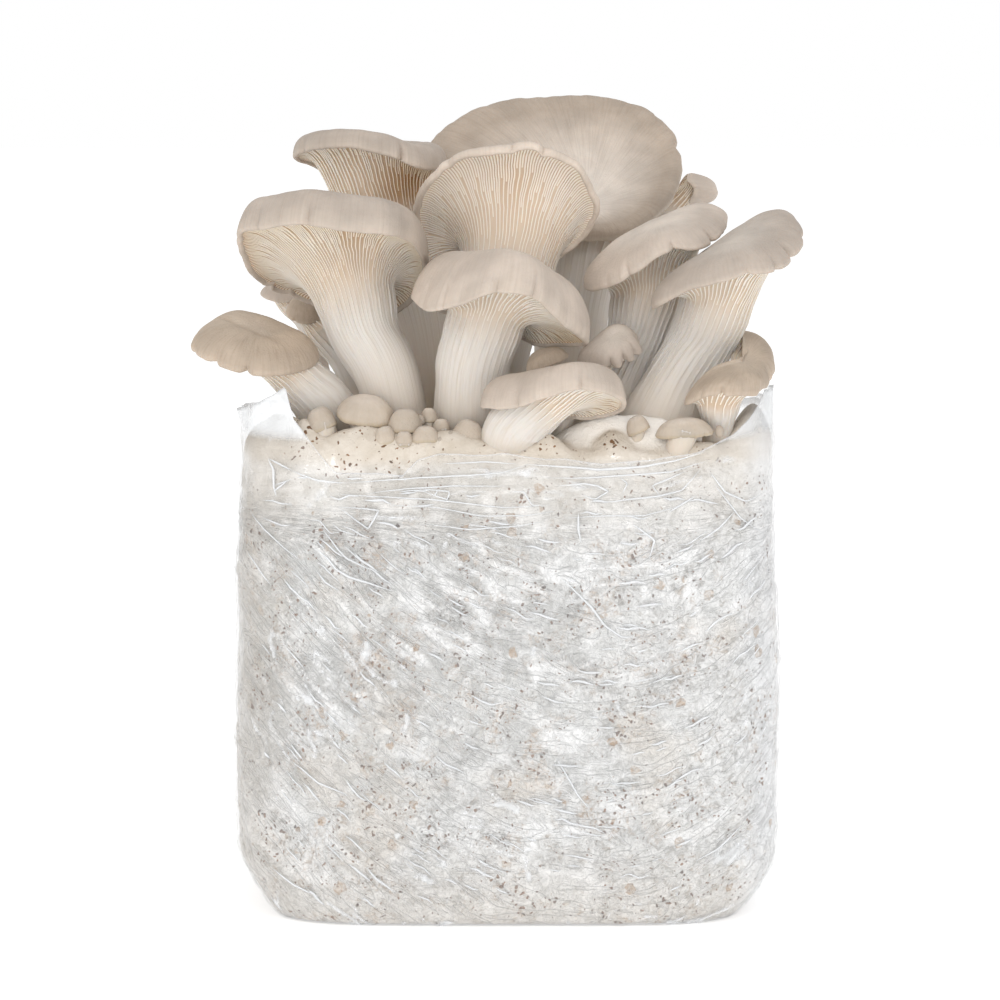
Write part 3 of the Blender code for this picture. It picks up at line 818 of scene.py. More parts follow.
@dataclass
class BagShape:
    """The form that the film and the block share."""

    width: float = BAG_WIDTH
    depth: float = BAG_DEPTH
    corner_power: float = 5.0
    seed: int = 11
    # height, then how far the outline is drawn in along X and along Y
    profile: tuple = (
        (-4.0, 13.0, 6.0),
        (3.0, 8.0, 3.0),
        (11.0, 3.5, 1.2),
        (22.0, 0.6, 0.3),
        (62.0, 0.0, 0.0),
        (112.0, 0.5, 0.3),
        (150.0, 2.5, 1.5),
    )
    sag_middle: float = 38.0
    sag_left: float = 0.0045
    sag_right: float = 0.0085
    # the height from which what sags runs level again, and over how much height it turns
    slack_from: float = 140.0
    slack_reach: float = 16.0
    strand_height: float = 0.8
    # how far inside the ends the sides begin, and over what width
    side_from: float = 8.0
    side_reach: float = 6.0
    # points a millimetre on the sides, what the front has more and the back less, and the
    # height at which the way round is measured
    side_density: float = 0.70
    front_density: float = 0.44
    girth_height: float = 60.0
    # x, y, radius and rise of the broad mounds of the top
    mounds: tuple = (
        (40.0, -32.0, 34.0, 4.0),
        (62.0, -44.0, 20.0, 3.0),
        (-60.0, -30.0, 28.0, 4.0),
        (6.0, 26.0, 44.0, 5.0),
        (-26.0, -56.0, 24.0, -2.5),
    )

    def drawn_in(self, height: np.ndarray) -> tuple[np.ndarray, np.ndarray]:
        """How far the outline is inside its full width and depth at each height."""
        rows = np.array(self.profile)
        dense = curve(rows, np.linspace(0.0, len(rows) - 1.0, 200))
        across = np.interp(height, dense[:, 0], np.maximum(dense[:, 1], 0.0))
        along = np.interp(height, dense[:, 0], np.maximum(dense[:, 2], 0.0))
        return across, along

    def angles(self, columns: int) -> np.ndarray:
        """Directions round the bag, closest together on the front, where it is seen most."""
        turn = np.linspace(0.0, 2 * math.pi, 4001)
        x, y = self.outline(turn, np.full_like(turn, self.girth_height), 0.0)
        step = np.hypot(np.diff(x), np.diff(y))
        front = np.clip(-y[:-1] / (self.depth / 2), -1.0, 1.0)
        density = self.side_density + self.front_density * front
        travelled = np.concatenate([[0.0], np.cumsum(step * density)])
        wanted = np.linspace(0.0, travelled[-1], columns, endpoint=False)
        return np.interp(wanted, travelled, turn)

    def outline(
        self, angle: np.ndarray, height: np.ndarray, inset: float | np.ndarray
    ) -> tuple[np.ndarray, np.ndarray]:
        """The rounded oblong outline.

        Args:
            angle: Directions round the bag, from +X.
            height: The height of each point.
            inset: How far inside the bag's outer face it runs.

        Returns:
            x and y of each point.
        """
        across, along = self.drawn_in(height)
        c, s = np.cos(angle), np.sin(angle)
        power = self.corner_power
        reach = (np.abs(c) ** power + np.abs(s) ** power) ** (-1.0 / power)
        half_x = self.width / 2 - across - inset
        half_y = self.depth / 2 - along - inset
        return half_x * c * reach, half_y * s * reach

    def block_top(self, x: np.ndarray, y: np.ndarray) -> np.ndarray:
        """Height of the block's grown top, as the solids have it."""
        height = np.full(np.shape(x), BLOCK_HEIGHT)
        for centre_x, centre_y, radius, rise in self.mounds:
            away = np.hypot(x - centre_x, y - centre_y) / radius
            height = height + rise * (1.0 - smooth_step(away))
        return height

    def lumps(self, points: np.ndarray) -> np.ndarray:
        """The block's unevenness, which the film over it follows."""
        noise = Lattice(self.seed)
        wide = noise.fractal(points / 34.0, 3) - 0.5
        small = noise.fractal(points / 9.0 + 5.0, 3) - 0.5
        return 3.2 * wide + 1.6 * small

    def flow(self, rows: np.ndarray) -> np.ndarray:
        """Coordinates in which the strands and creases that hang across the faces are level.

        They sag towards a point right of the middle, run level near the top, and are three
        times as long as they are high.
        """
        x, y, z = rows[..., 0], rows[..., 1], rows[..., 2]
        slack = smooth_step((z - self.slack_from) / self.slack_reach)
        away = x - self.sag_middle
        sag = np.where(away < 0.0, self.sag_left, self.sag_right) * away**2
        return np.stack([x * 0.33, y * 0.33, z - sag * (1.0 - slack)], axis=-1)

    def bands(self, rows: np.ndarray) -> np.ndarray:
        """Strands pressed against the film, from 0 between them to 1 on them."""
        noise = Lattice(self.seed + 40)
        flow = self.flow(rows)
        wander = (noise.fractal(rows / 26.0, 2) - 0.5)[..., None] * np.array([0.0, 0.0, 9.0])
        wide = noise.ridged((flow + wander) / 6.5, 5.0)
        thin = noise.ridged((flow - wander) / 2.9 + 9.0, 5.0)
        gate = smooth_step((noise.fractal(rows / 22.0 + 5.0, 2) - 0.40) / 0.22)
        return np.clip(wide * (0.25 + 0.85 * gate) + 0.55 * thin * (0.3 + 0.7 * gate), 0.0, 1.0)

    def sideways(self, x: np.ndarray) -> np.ndarray:
        """From 0 on the faces to 1 on the sides."""
        return smooth_step((np.abs(x) - (self.width / 2 - self.side_from)) / self.side_reach)

    def gusset(self, rows: np.ndarray) -> np.ndarray:
        """Upright folds on the sides, from 0 to 1."""
        noise = Lattice(self.seed + 50)
        x, y, z = rows[..., 0], rows[..., 1], rows[..., 2]
        wander = noise.fractal(rows / 30.0, 2)
        side = np.stack([x / 7.0, y / 6.5, z / 60.0 + wander], axis=-1)
        return noise.ridged(side, 3.0) * self.sideways(x)


@dataclass
class Block:
    """The colonised block that fills the bag and shows at its open top."""

    shape: BagShape
    inset: float = 1.0
    columns: int = 440
    side_rows: int = 138
    bend_rows: int = 12
    top_rows: int = 52
    shoulder: float = 5.0
    top_power: float = 1.35
    seed: int = 29
    # x, y, half widths, rise and kind (0 fleshy, 0.5 plain, 1 porous) of the lumps grown on top
    knots: tuple = (
        (-12.0, -66.0, 120.0, 17.0, 4.6, 0.55),
        (-82.0, -44.0, 18.0, 16.0, 13.0, 0.5),
        (-74.0, -52.0, 9.0, 8.0, 7.0, 1.0),
        (-54.0, -54.0, 28.0, 13.0, 9.5, 0.6),
        (-24.0, -55.0, 28.0, 12.0, 9.0, 0.6),
        (15.0, -57.0, 11.0, 8.0, 5.0, 0.8),
        (39.0, -55.0, 9.0, 6.0, 4.0, 1.0),
        (30.0, -46.0, 24.0, 12.0, 9.0, 0.0),
        (52.0, -46.0, 24.0, 12.0, 9.0, 0.0),
        (74.0, -54.0, 16.0, 9.0, 4.0, 0.6),
        (89.0, -44.0, 15.0, 16.0, 12.0, 0.6),
        (92.0, -26.0, 14.0, 22.0, 15.0, 0.5),
        (-90.0, -26.0, 14.0, 24.0, 9.0, 0.5),
    )
    # x, y, radius and depth of the small holes between them
    pits: tuple = (
        (-71.0, -47.0, 3.0, 5.0), (-80.0, -50.0, 4.5, 3.5), (-36.0, -62.0, 4.0, 1.2),
        (3.0, -61.0, 4.0, 2.0), (27.0, -61.0, 5.0, 2.0), (-58.0, -61.0, 5.0, 1.5),
        (-49.0, -58.0, 5.0, 1.5),
    )

    def rings(self, angle: np.ndarray) -> np.ndarray:
        """The even form ring by ring: the sides, the rounded shoulder and the flat top."""
        low, top = self.inset - FOOT, BLOCK_HEIGHT - self.shoulder
        side = [(low + (top - low) * share, self.inset)
                for share in np.linspace(0.0, 1.0, self.side_rows)]
        bend = [(top + self.shoulder * math.sin(turn),
                 self.inset + self.shoulder * (1.0 - math.cos(turn)))
                for turn in np.linspace(0.0, math.pi / 2, self.bend_rows)[1:]]
        rings = []
        for height, inset in side + bend:
            heights = np.full(len(angle), height)
            rings.append(np.stack([*self.shape.outline(angle, heights, inset), heights], axis=1))
        last = rings[-1]
        for share in 1.0 - np.linspace(0.0, 1.0, self.top_rows + 1)[1:-1] ** self.top_power:
            rings.append(np.stack([last[:, 0] * share, last[:, 1] * share, last[:, 2]], axis=1))
        return np.array(rings)

    def grown(self, rows: np.ndarray, noise: Lattice) -> tuple[np.ndarray, np.ndarray]:
        """What has grown on the block's top.

        Args:
            rows: The block's points.
            noise: The block's own noise.

        Returns:
            How much higher each point stands, and its kind of crust: 0 fleshy, 1 porous.
        """
        x, y = rows[..., 0], rows[..., 1]
        grown = self.shape.block_top(x, y) - BLOCK_HEIGHT
        crumbs = noise.fractal(rows / 3.6, 3) - 0.5
        crust = np.full(x.shape, 0.5)
        for knot_x, knot_y, wide, deep, rise, kind in self.knots:
            share = 1.0 - smooth_step(np.hypot((x - knot_x) / wide, (y - knot_y) / deep))
            grown = grown + (rise + 5.0 * max(0.0, kind - 0.5) * crumbs) * share
            crust = crust + (kind - 0.5) * np.sqrt(share)
        for pit_x, pit_y, radius, depth in self.pits:
            away = np.hypot(x - pit_x, y - pit_y) / radius
            grown = grown - depth * (1.0 - smooth_step(away))
        grown = grown + 1.8 * (noise.fractal(rows / 10.0 + 3.0, 2) - 0.45)
        return grown, np.clip(crust, 0.0, 1.0)

    def build(self) -> bpy.types.Object:
        """Makes the block's surface."""
        rows = self.rings(self.shape.angles(self.columns))
        bottom = np.array([0.0, 0.0, self.inset - FOOT])
        skin = Skin("mycelium_block", bottom, rows, np.array([0.0, 0.0, BLOCK_HEIGHT]))
        normals = grid_normals(rows) * skin.outward()
        noise = Lattice(self.seed)
        bands = self.shape.bands(rows)
        flow = self.shape.flow(rows)
        felt = noise.fractal(rows / 2.6, 2) - 0.5
        top = BLOCK_HEIGHT - self.shoulder
        upper = smooth_step((rows[..., 2] - (top - 2.0)) / self.shoulder)
        strands = self.shape.strand_height * bands * (1.0 - upper)
        relief = self.shape.lumps(rows) + 0.5 * felt + strands
        flat = smooth_step((rows[..., 2] + FOOT - 0.5) / 10.0)
        rows = rows + normals * (relief * flat * (1.0 - 0.5 * upper))[..., None]
        grown, crust = self.grown(rows, noise)
        rows[..., 2] += grown * upper
        skin.rows = rows
        skin.last = rows[-1].mean(axis=0)
        mesh = skin.mesh()
        store(mesh, "band", bands * (1.0 - upper), 0.0, 0.0)
        store(mesh, "crust", crust, 0.5, 0.5)
        store_vectors(mesh, "flow", flow * MM, np.array([[0.0, 0.0, 0.0], flow[-1, 0] * MM]))
        mesh.materials.append(Mycelium().material())
        return place("mycelium_block", mesh)


@dataclass
class Film:
    """The clear film bag, its free edge and the creases in it."""

    shape: BagShape
    columns: int = 360
    rows: int = 132
    thickness: float = 0.2
    inset: float = 0.4
    # how far over the floor the bottom lies, and the least that a crease leaves
    bottom_gap: float = 0.3
    least_gap: float = 0.15
    edge_seed: int = 5
    loose_seed: int = 17
    edge: tuple = (
        # direction round the bag in degrees from +X, height of the free edge
        (0.0, 192.0), (20.0, 188.0), (45.0, 182.0), (90.0, 181.0), (135.0, 182.0),
        (160.0, 184.0), (180.0, 186.0), (205.0, 188.0), (215.0, 190.0), (221.0, 192.0),
        (225.0, 195.0), (228.4, 199.0), (230.0, 187.0), (232.5, 181.0), (235.0, 174.0),
        (237.4, 168.0), (249.0, 167.0), (252.0, 173.0), (256.0, 175.0), (270.0, 175.0),
        (280.0, 173.0), (289.0, 171.0), (298.0, 173.0), (306.0, 175.0), (312.0, 181.0),
        (319.0, 189.0), (325.0, 196.0), (336.0, 197.0), (350.0, 194.0),
    )

    def edge_height(self, angle: np.ndarray) -> np.ndarray:
        """Height of the free edge in each direction, gently uneven."""
        rows = np.array((*self.edge, (self.edge[0][0] + 360.0, self.edge[0][1])))
        turned = np.degrees(angle) % 360.0
        height = np.interp(turned, rows[:, 0], rows[:, 1])
        ring = np.stack([np.cos(angle) * 9.0, np.sin(angle) * 9.0, angle * 0.0], axis=1)
        return height + 1.6 * (Lattice(self.edge_seed).fractal(ring, 3) - 0.5)

    def wrinkles(self, rows: np.ndarray) -> np.ndarray:
        """The film's own small creases: hanging across the faces, upright on the sides."""
        noise = Lattice(self.shape.seed + 44)
        flow = self.shape.flow(rows)
        wander = 5.0 * (noise.fractal(rows / 30.0, 2) - 0.5)[..., None]
        upright = wander * np.array([0.0, 0.0, 1.0])
        gate = smooth_step((noise.fractal(rows / 24.0 + 9.0, 2) - 0.42) / 0.2)
        wide = noise.ridged((flow + upright) / 5.2, 7.0)
        fine = noise.ridged((flow - upright) / 3.0 + 4.0, 6.0)
        level = noise.ridged(rows / np.array([46.0, 46.0, 4.2]) + upright / 9.0, 7.0)
        high = smooth_step((rows[..., 2] - 142.0) / 10.0)
        faces = (1.1 * wide * gate + 0.55 * fine) * (1.0 - 0.6 * high) + 0.9 * level * high
        sideways = self.shape.sideways(rows[..., 0])
        return faces * (1.0 - sideways) + 0.7 * self.shape.gusset(rows)

    def front(self, x: np.ndarray, z: np.ndarray) -> np.ndarray:
        """Points on the film's outer face at places on the front."""
        across, along = self.shape.drawn_in(z)
        half_x = self.shape.width / 2 - across - self.inset
        half_y = self.shape.depth / 2 - along - self.inset
        power = self.shape.corner_power
        reach = np.minimum(np.abs(x) / half_x, 0.99) ** power
        rows = np.stack([x, -half_y * (1.0 - reach) ** (1.0 / power), z], axis=-1)
        relief = self.shape.lumps(rows) + self.shape.strand_height * self.shape.bands(rows)
        rows[..., 1] -= relief + self.wrinkles(rows)
        return rows

    def build(self, clear: bpy.types.Material) -> bpy.types.Object:
        """Makes the film as a closed thin wall."""
        angle = self.shape.angles(self.columns)
        rim = self.edge_height(angle)
        share = np.linspace(0.0, 1.0, self.rows)[:, None]
        low = self.bottom_gap - FOOT
        heights = low + (rim[None, :] - low) * share
        held = np.minimum(heights, BLOCK_HEIGHT)
        x, y = self.shape.outline(np.broadcast_to(angle, held.shape), held, self.inset)
        rows = np.stack([x, y, heights], axis=-1)
        bottom = np.array([0.0, 0.0, low])
        sheet = Skin("bag_film", bottom, rows, np.array([0.0, 0.0, BLOCK_HEIGHT]))
        normals = grid_normals(rows) * sheet.outward()
        on_face = smooth_step((-y - (self.shape.depth / 2 - 10.0)) / 6.0)
        over = smooth_step((heights - (BLOCK_HEIGHT + 2.0)) / 8.0)
        wrinkled = self.wrinkles(rows) * (1.0 - 0.7 * over)
        strands = self.shape.strand_height * self.shape.bands(rows)
        relief = (self.shape.lumps(rows) + strands) * (1.0 - over) + wrinkled
        loose = Lattice(self.loose_seed).fractal(rows / np.array([15.0, 15.0, 40.0]), 2) - 0.5
        relief = relief + loose * 7.0 * over * (1.0 - 0.6 * on_face)
        flat = smooth_step((heights + FOOT) / 10.0)
        outer = rows + normals * (relief * flat)[..., None]
        outer[..., 2] = np.maximum(outer[..., 2], self.least_gap - FOOT)
        inner = outer - normals * self.thickness
        rings = np.concatenate([outer, inner[::-1]])
        skin = Skin("bag_film", bottom, rings, bottom + np.array([0.0, 0.0, self.thickness]))
        mesh = skin.mesh()
        # milky where the film is creased, where it hangs loose over the block and along its free
        # edge: partly the film's own milkiness, partly painted highlight
        crease_and_highlight = np.clip((wrinkled - 0.35) / 1.1, 0.0, 1.0)
        crease_and_highlight = np.maximum(crease_and_highlight, over * np.clip(1.0 + 1.2 * loose, 0.0, 1.0))
        crease_and_highlight = np.maximum(crease_and_highlight, smooth_step((heights - rim[None, :] + 1.0) / 0.8) * 0.7)
        store(mesh, "crease_and_highlight", np.concatenate([crease_and_highlight, crease_and_highlight[::-1]]), 0.0, 0.0)
        mesh.materials.append(clear)
        return place("bag_film", mesh)


@dataclass
class Folds:
    """The film's sharp small folds, finer than the film's own mesh, which stand out of it.

    They are milky white: partly creased film's own milkiness, partly painted highlight.
    """

    film: Film
    scattered: int = 190
    seed: int = 77
    step: float = 1.1
    # between what the scattered folds' lengths, places and half widths are drawn
    lengths: tuple = (3.0, 13.0)
    from_left: tuple = (-94.0, 90.0)
    heights: tuple = (8.0, 168.0)
    half_widths: tuple = (0.22, 0.55)
    # half width, then x, z of each corner on the front face
    placed: tuple = (
        (0.5, ((-88, 172), (-86, 168), (-86, 162), (-85, 158))),
        (0.4, ((-88, 172), (-83, 170), (-79, 168))),
        (0.4, ((-86, 160), (-81, 164))),
        (0.3, ((-86, 162), (-79, 165))),
        (0.4, ((-79, 168), (-70, 165), (-62, 164), (-59, 164))),
        (0.35, ((-59, 164), (-45, 165), (-32, 166), (-14, 167), (-2, 168), (8, 171))),
        (0.3, ((-65, 160), (-48, 159), (-28, 158), (-1, 155), (16, 156))),
        (0.4, ((-62, 155), (-47, 154), (-51, 147), (-62, 155))),
        (0.3, ((-58, 152), (-51, 147))),
        (0.3, ((-33, 162), (-28, 160), (-22, 158), (-21, 161), (-33, 162))),
        (0.3, ((-25, 162), (-27, 159))),
        (0.4, ((-68, 147), (-62, 139), (-59, 136), (-53, 133), (-47, 131))),
        (0.5, ((-71, 140), (-66, 136), (-63, 132), (-58, 129), (-51, 127), (-42, 124))),
        (0.4, ((-70, 131), (-67, 127), (-62, 124))),
        (0.3, ((-96, 152), (-90, 146), (-82, 139), (-76, 135))),
        (0.3, ((-97, 137), (-92, 131), (-87, 125))),
        (0.5, ((6, 171), (23, 170), (34, 169), (49, 170), (61, 172), (72, 175))),
        (0.35, ((14, 166), (30, 166), (46, 167), (60, 168), (74, 172))),
        (0.4, ((18, 163), (28, 164), (33, 163), (37, 161), (32, 158), (27, 160))),
        (0.4, ((32, 158), (37, 157), (45, 158), (55, 159), (64, 161), (71, 169))),
        (0.35, ((65, 168), (58, 165), (53, 163), (56, 159))),
        (0.3, ((41, 166), (44, 164), (42, 160))),
        (0.3, ((1, 161), (6, 161), (9, 156), (13, 156))),
        (0.3, ((-24, 171), (-8, 172), (4, 171))),
        (0.3, ((-52, 160), (-36, 162), (-20, 163), (0, 163))),
        (0.25, ((-44, 156), (-26, 155), (-10, 152), (6, 152), (20, 154))),
        (0.25, ((20, 151), (36, 152), (50, 152), (66, 156))),
        (0.3, ((-30, 149), (-14, 147), (2, 148), (14, 150))),
        (0.5, ((26, 153), (26, 147), (27, 142))),
        (0.5, ((46, 149), (54, 143), (52, 136))),
        (0.4, ((59, 153), (64, 156), (69, 159))),
        (0.5, ((19, 130), (25, 124), (31, 118), (36, 111), (42, 107), (48, 107))),
        (0.4, ((70, 142), (78, 147), (84, 153))),
        (0.4, ((74, 168), (80, 160), (88, 156), (94, 158))),
        (0.3, ((76, 163), (86, 150), (94, 144))),
        (0.4, ((18, 62), (22, 55), (26, 48), (31, 42))),
        (0.4, ((-80, 60), (-70, 52), (-58, 47))),
        (0.4, ((-88, 18), (-80, 12), (-70, 8))),
        (0.4, ((70, 22), (78, 26), (88, 35))),
    )

    def along(self, corners: tuple) -> np.ndarray:
        """Places every step along the line through corners."""
        given = np.array(corners, float)
        lengths = np.linalg.norm(np.diff(given, axis=0), axis=1)
        reach = np.concatenate([[0.0], np.cumsum(lengths)])
        at = np.linspace(0.0, reach[-1], max(5, round(reach[-1] / self.step)))
        return np.stack([np.interp(at, reach, given[:, k]) for k in (0, 1)], axis=1)

    def hanging(self, draw: np.random.Generator) -> tuple[float, tuple]:
        """One short fold that hangs as the strands below it do: its half width and corners."""
        shape = self.film.shape
        long = draw.uniform(*self.lengths)
        x = draw.uniform(*self.from_left)
        z = draw.uniform(*self.heights)
        slack = float(smooth_step((z - shape.slack_from) / shape.slack_reach))
        pull = shape.sag_left if x < shape.sag_middle else shape.sag_right
        slope = 2.0 * pull * (x - shape.sag_middle) * (1.0 - slack)
        run = np.linspace(0.0, long / math.hypot(1.0, slope), 4)
        fall = slope * run + draw.normal(0.0, 0.05 * long, 4)
        return draw.uniform(*self.half_widths), tuple(zip(x + run, z + fall))

    def build(self, clear: bpy.types.Material) -> bpy.types.Object:
        """Makes all the folds as one mesh of thin tapered ridges."""
        draw = np.random.default_rng(self.seed)
        lines = [*self.placed, *(self.hanging(draw) for _ in range(self.scattered))]
        points, widths, edges, count = [], [], [], 0
        for half_width, corners in lines:
            run = self.along(corners)
            share = np.linspace(0.0, 1.0, len(run))
            points.append(self.film.front(run[:, 0], run[:, 1]))
            widths.append(half_width * np.maximum(np.sin(math.pi * share) ** 0.7, 0.1))
            numbers = count + np.arange(len(run))
            edges.append(np.stack([numbers[:-1], numbers[1:]], axis=1))
            count += len(run)
        mesh = bpy.data.meshes.new("film_folds")
        mesh.from_pydata(np.vstack(points) * MM + MIDDLE, np.vstack(edges).tolist(), [])
        wide = mesh.attributes.new("half_width", "FLOAT", "POINT")
        wide.data.foreach_set("value", np.concatenate(widths) * MM)
        piece = place("film_folds", mesh)
        tree = MeshTree("raise_folds", Film="Material")
        line = tree.add("GeometryNodeMeshToCurve", {0: tree.given["Geometry"]})[0]
        ring = tree.add("GeometryNodeCurvePrimitiveCircle", {"Resolution": 6, "Radius": 1.0})[0]
        tube = tree.add(
            "GeometryNodeCurveToMesh",
            {"Curve": line, "Profile Curve": ring, "Scale": tree.kept("half_width"),
             "Fill Caps": True},
        )[0]
        # the whole tube is marked milky white: painted highlight along the fold
        smooth = tree.add("GeometryNodeSetShadeSmooth", {0: tree.mark(tube, "crease_and_highlight")})[0]
        tree.finish(smooth, "Film")
        tree.run_on(piece, Film=clear)
        return piece


# ---------------------------------------------------------------- fruit bodies


def gill_tree() -> MeshTree:
    """The tree that raises gill blades from the underside of a cap."""
    tree = MeshTree("raise_gills", Depth="Float", Flesh="Material")
    raised = tree.add(
        "GeometryNodeExtrudeMesh",
        {"Mesh": tree.given["Geometry"], "Selection": tree.kept("blade", "BOOLEAN"),
         "Offset Scale": tree.times(tree.kept("rise"), tree.given["Depth"]), "Individual": False},
        mode="FACES",
    )
    marked = tree.mark(raised["Mesh"], "ridge", Selection=raised["Top"])
    tree.finish(marked, "Flesh", Selection=tree.kept("under", "BOOLEAN"))
    return tree


@dataclass(frozen=True)
class Notch:
    """A cut or dent in a cap's margin, at the rim point nearest to x, y, z."""

    x: float
    y: float
    z: float
    deep: float
    wide: float


@dataclass(frozen=True)
class Spot:
    """A place where a colour changes: its middle, its reach and how strong it is."""

    x: float
    y: float
    z: float
    reach: float
    strength: float


def spotted(rows: np.ndarray, base: float, spots: tuple[Spot, ...]) -> np.ndarray:
    """A value over a grid of points, changed round each spot."""
    total = np.full(rows.shape[:-1], base)
    for spot in spots:
        away = np.linalg.norm(rows - np.array([spot.x, spot.y, spot.z]), axis=-1)
        total = total + spot.strength * (1.0 - smooth_step(away / spot.reach))
    return total


@dataclass
class FruitBody:
    """One mushroom, grown as a single piece: stem, gills and cap.

    stem is rows of (x, y, z, radius across X, radius across Y) from the foot to the neck, where
    a foot with z of None stands on the block. rim is the cap's edge, crown the middle of its top,
    roll how high the margin swells above the edge, dish how sharply the top turns down, and brow
    how tightly the margin is rounded. lip is how far it rolls in under the gills' ends, run_down
    how far the gills run down the stem, flare how long they climb before they turn outwards,
    scallop how deep the margin's own small nicks are, cleft how soon they end inwards, dents how
    uneven the top is, ripe whether the stem has whitened, and folds are grooves in the top: half
    width, depth and the line that each follows.
    """

    LIP_ROWS = 6
    # the angle from which an edge between two faces is sharp
    SHARP = math.radians(52.0)
    # the share of a gill's pitch that its blade takes up
    BLADE_SHARE = 0.54
    # how the stem's gills are shared out: by where the rim is seen, and evenly
    SEEN_SHARE = 0.55
    EVEN_SHARE = 0.45
    # how the gills come in at the lip: how strongly, and its parts outwards and down
    ARRIVE = 0.75
    ARRIVE_OUT = 0.8
    ARRIVE_DOWN = 0.6
    # how late the margin's swell rises, and how close together the top's rings are at the rim
    SWELL_POWER = 1.7
    TOP_POWER = 1.7
    # millimetres of fibre from crown to foot, and a streak's width as a share of its length
    FIBRE_LENGTH = 45.0
    FIBRE_STRETCH = 0.09

    name: str
    stem: tuple
    rim: tuple
    crown: tuple
    roll: float
    seed: int
    dish: float = 2.0
    brow: float = 3.4
    lip: float = 1.7
    gill_depth: float = 0.6
    gill_pitch: float = 1.4
    run_down: float = 0.25
    flare: float = 0.85
    tone: CapTone = CapTone.PALE
    # how much lighter or darker the cap's top and lip are painted: painted light above 1, painted
    # shade below 1
    depth_of_tone: float = 1.0
    waver: float = 0.8
    scallop: float = 0.7
    cleft: float = 26.0
    dents: float = 1.5
    notches: tuple[Notch, ...] = ()
    folds: tuple = ()
    stain: float = 0.10
    # painted shade under the margin, laid on the gills as brown
    margin_painted_shade: float = 0.25
    ripe: bool = True
    # spots where the gills turn brown: partly real stain, partly painted shade in shadowed places
    stain_and_shade_spots: tuple[Spot, ...] = ()
    # spots of painted light and painted shade on the flesh and the cap
    painted_light_and_shade: tuple[Spot, ...] = ()
    stem_rows: int = 26
    gill_rows: int = 30
    top_rows: int = 34
    sunk: float = 5.0

    def ring(self) -> tuple[np.ndarray, np.ndarray]:
        """The rim as two points for each gill.

        Returns:
            Each point's share of the way round, and the points.
        """
        rim = np.array(self.rim, float)
        at = np.linspace(0.0, len(rim), 40 * len(rim) + 1)
        dense = curve(rim, at, closed=True)
        step = np.linalg.norm(np.diff(dense, axis=0), axis=1)
        travelled = np.concatenate([[0.0], np.cumsum(step)])
        gills = max(20, 4 * round(travelled[-1] / self.gill_pitch / 4))
        starts = np.arange(gills)
        share = np.stack([starts, starts + self.BLADE_SHARE], axis=1).ravel() / gills
        wanted = np.interp(share * travelled[-1], travelled, at)
        self.length = travelled[-1]
        return share, curve(rim, wanted, closed=True)

    def facing_up(self, crown: np.ndarray, rows: np.ndarray) -> tuple:
        """The rim, turned so that the cap faces the way its stem grows.

        Args:
            crown: The middle of the cap's top.
            rows: The stem's rows.

        Returns:
            Each rim point's share of the way round, the points and the cap's mean direction.
        """
        share, ring = self.ring()
        normal = unit(np.cross(ring - crown, np.roll(ring, -1, axis=0) - crown).sum(axis=0))
        if normal @ (rows[-1] - rows[-2])[:3] < 0:
            return 1.0 - share[::-1], ring[::-1], -normal
        return share, ring, normal

    def around(self, share: np.ndarray, period: float, lane: float) -> np.ndarray:
        """Noise from -1 to 1 along the rim with about that many millimetres a wave.

        Each use has a lane of its own, so that no two follow each other.
        """
        turn = 2 * math.pi * share
        radius = self.length / (2 * math.pi) / period
        places = np.stack(
            [np.cos(turn) * radius, np.sin(turn) * radius, np.full_like(turn, lane)], axis=-1
        )
        return 2.0 * Lattice(self.seed).read(places + 11.0) - 1.0

    def foot(self) -> np.ndarray:
        """The stem's rows, with the foot's height filled in where it stands on the block."""
        rows = []
        for x, y, z, radius_x, radius_y in self.stem:
            if z is None:
                z = float(BagShape().block_top(np.array(x), np.array(y)))
            rows.append((x, y, z, radius_x, radius_y))
        return np.array(rows, float)

    def stem_ring(self, rows: np.ndarray, at: float, turns: np.ndarray) -> tuple:
        """The stem's cross-section at a parameter, level at the foot and then square to it."""
        last = len(rows) - 1.0
        row, ahead, behind = curve(rows, np.array([at, min(at + 0.05, last), max(at - 0.05, 0.0)]))
        upright = 1.0 - float(smooth_step(at / 1.2))
        direction = unit((ahead - behind)[:3]) * (1.0 - upright)
        direction = unit(direction + np.array([0.0, 0.0, upright]))
        first, second = square_to(direction)
        across = np.outer(np.cos(turns) * row[3], first)
        return row[:3] + across + np.outer(np.sin(turns) * row[4], second), direction

    def turns(self, ring: np.ndarray, share: np.ndarray, rows: np.ndarray) -> np.ndarray:
        """For each rim point, the direction round the stem that its gill runs down to."""
        neck = rows[-1][:3]
        direction = unit((rows[-1] - rows[-2])[:3])
        first, second = square_to(direction)
        seen = np.unwrap(np.arctan2((ring - neck) @ second, (ring - neck) @ first))
        even = 2 * math.pi * share
        even = even + np.mean(seen - even)
        return self.SEEN_SHARE * seen + self.EVEN_SHARE * even

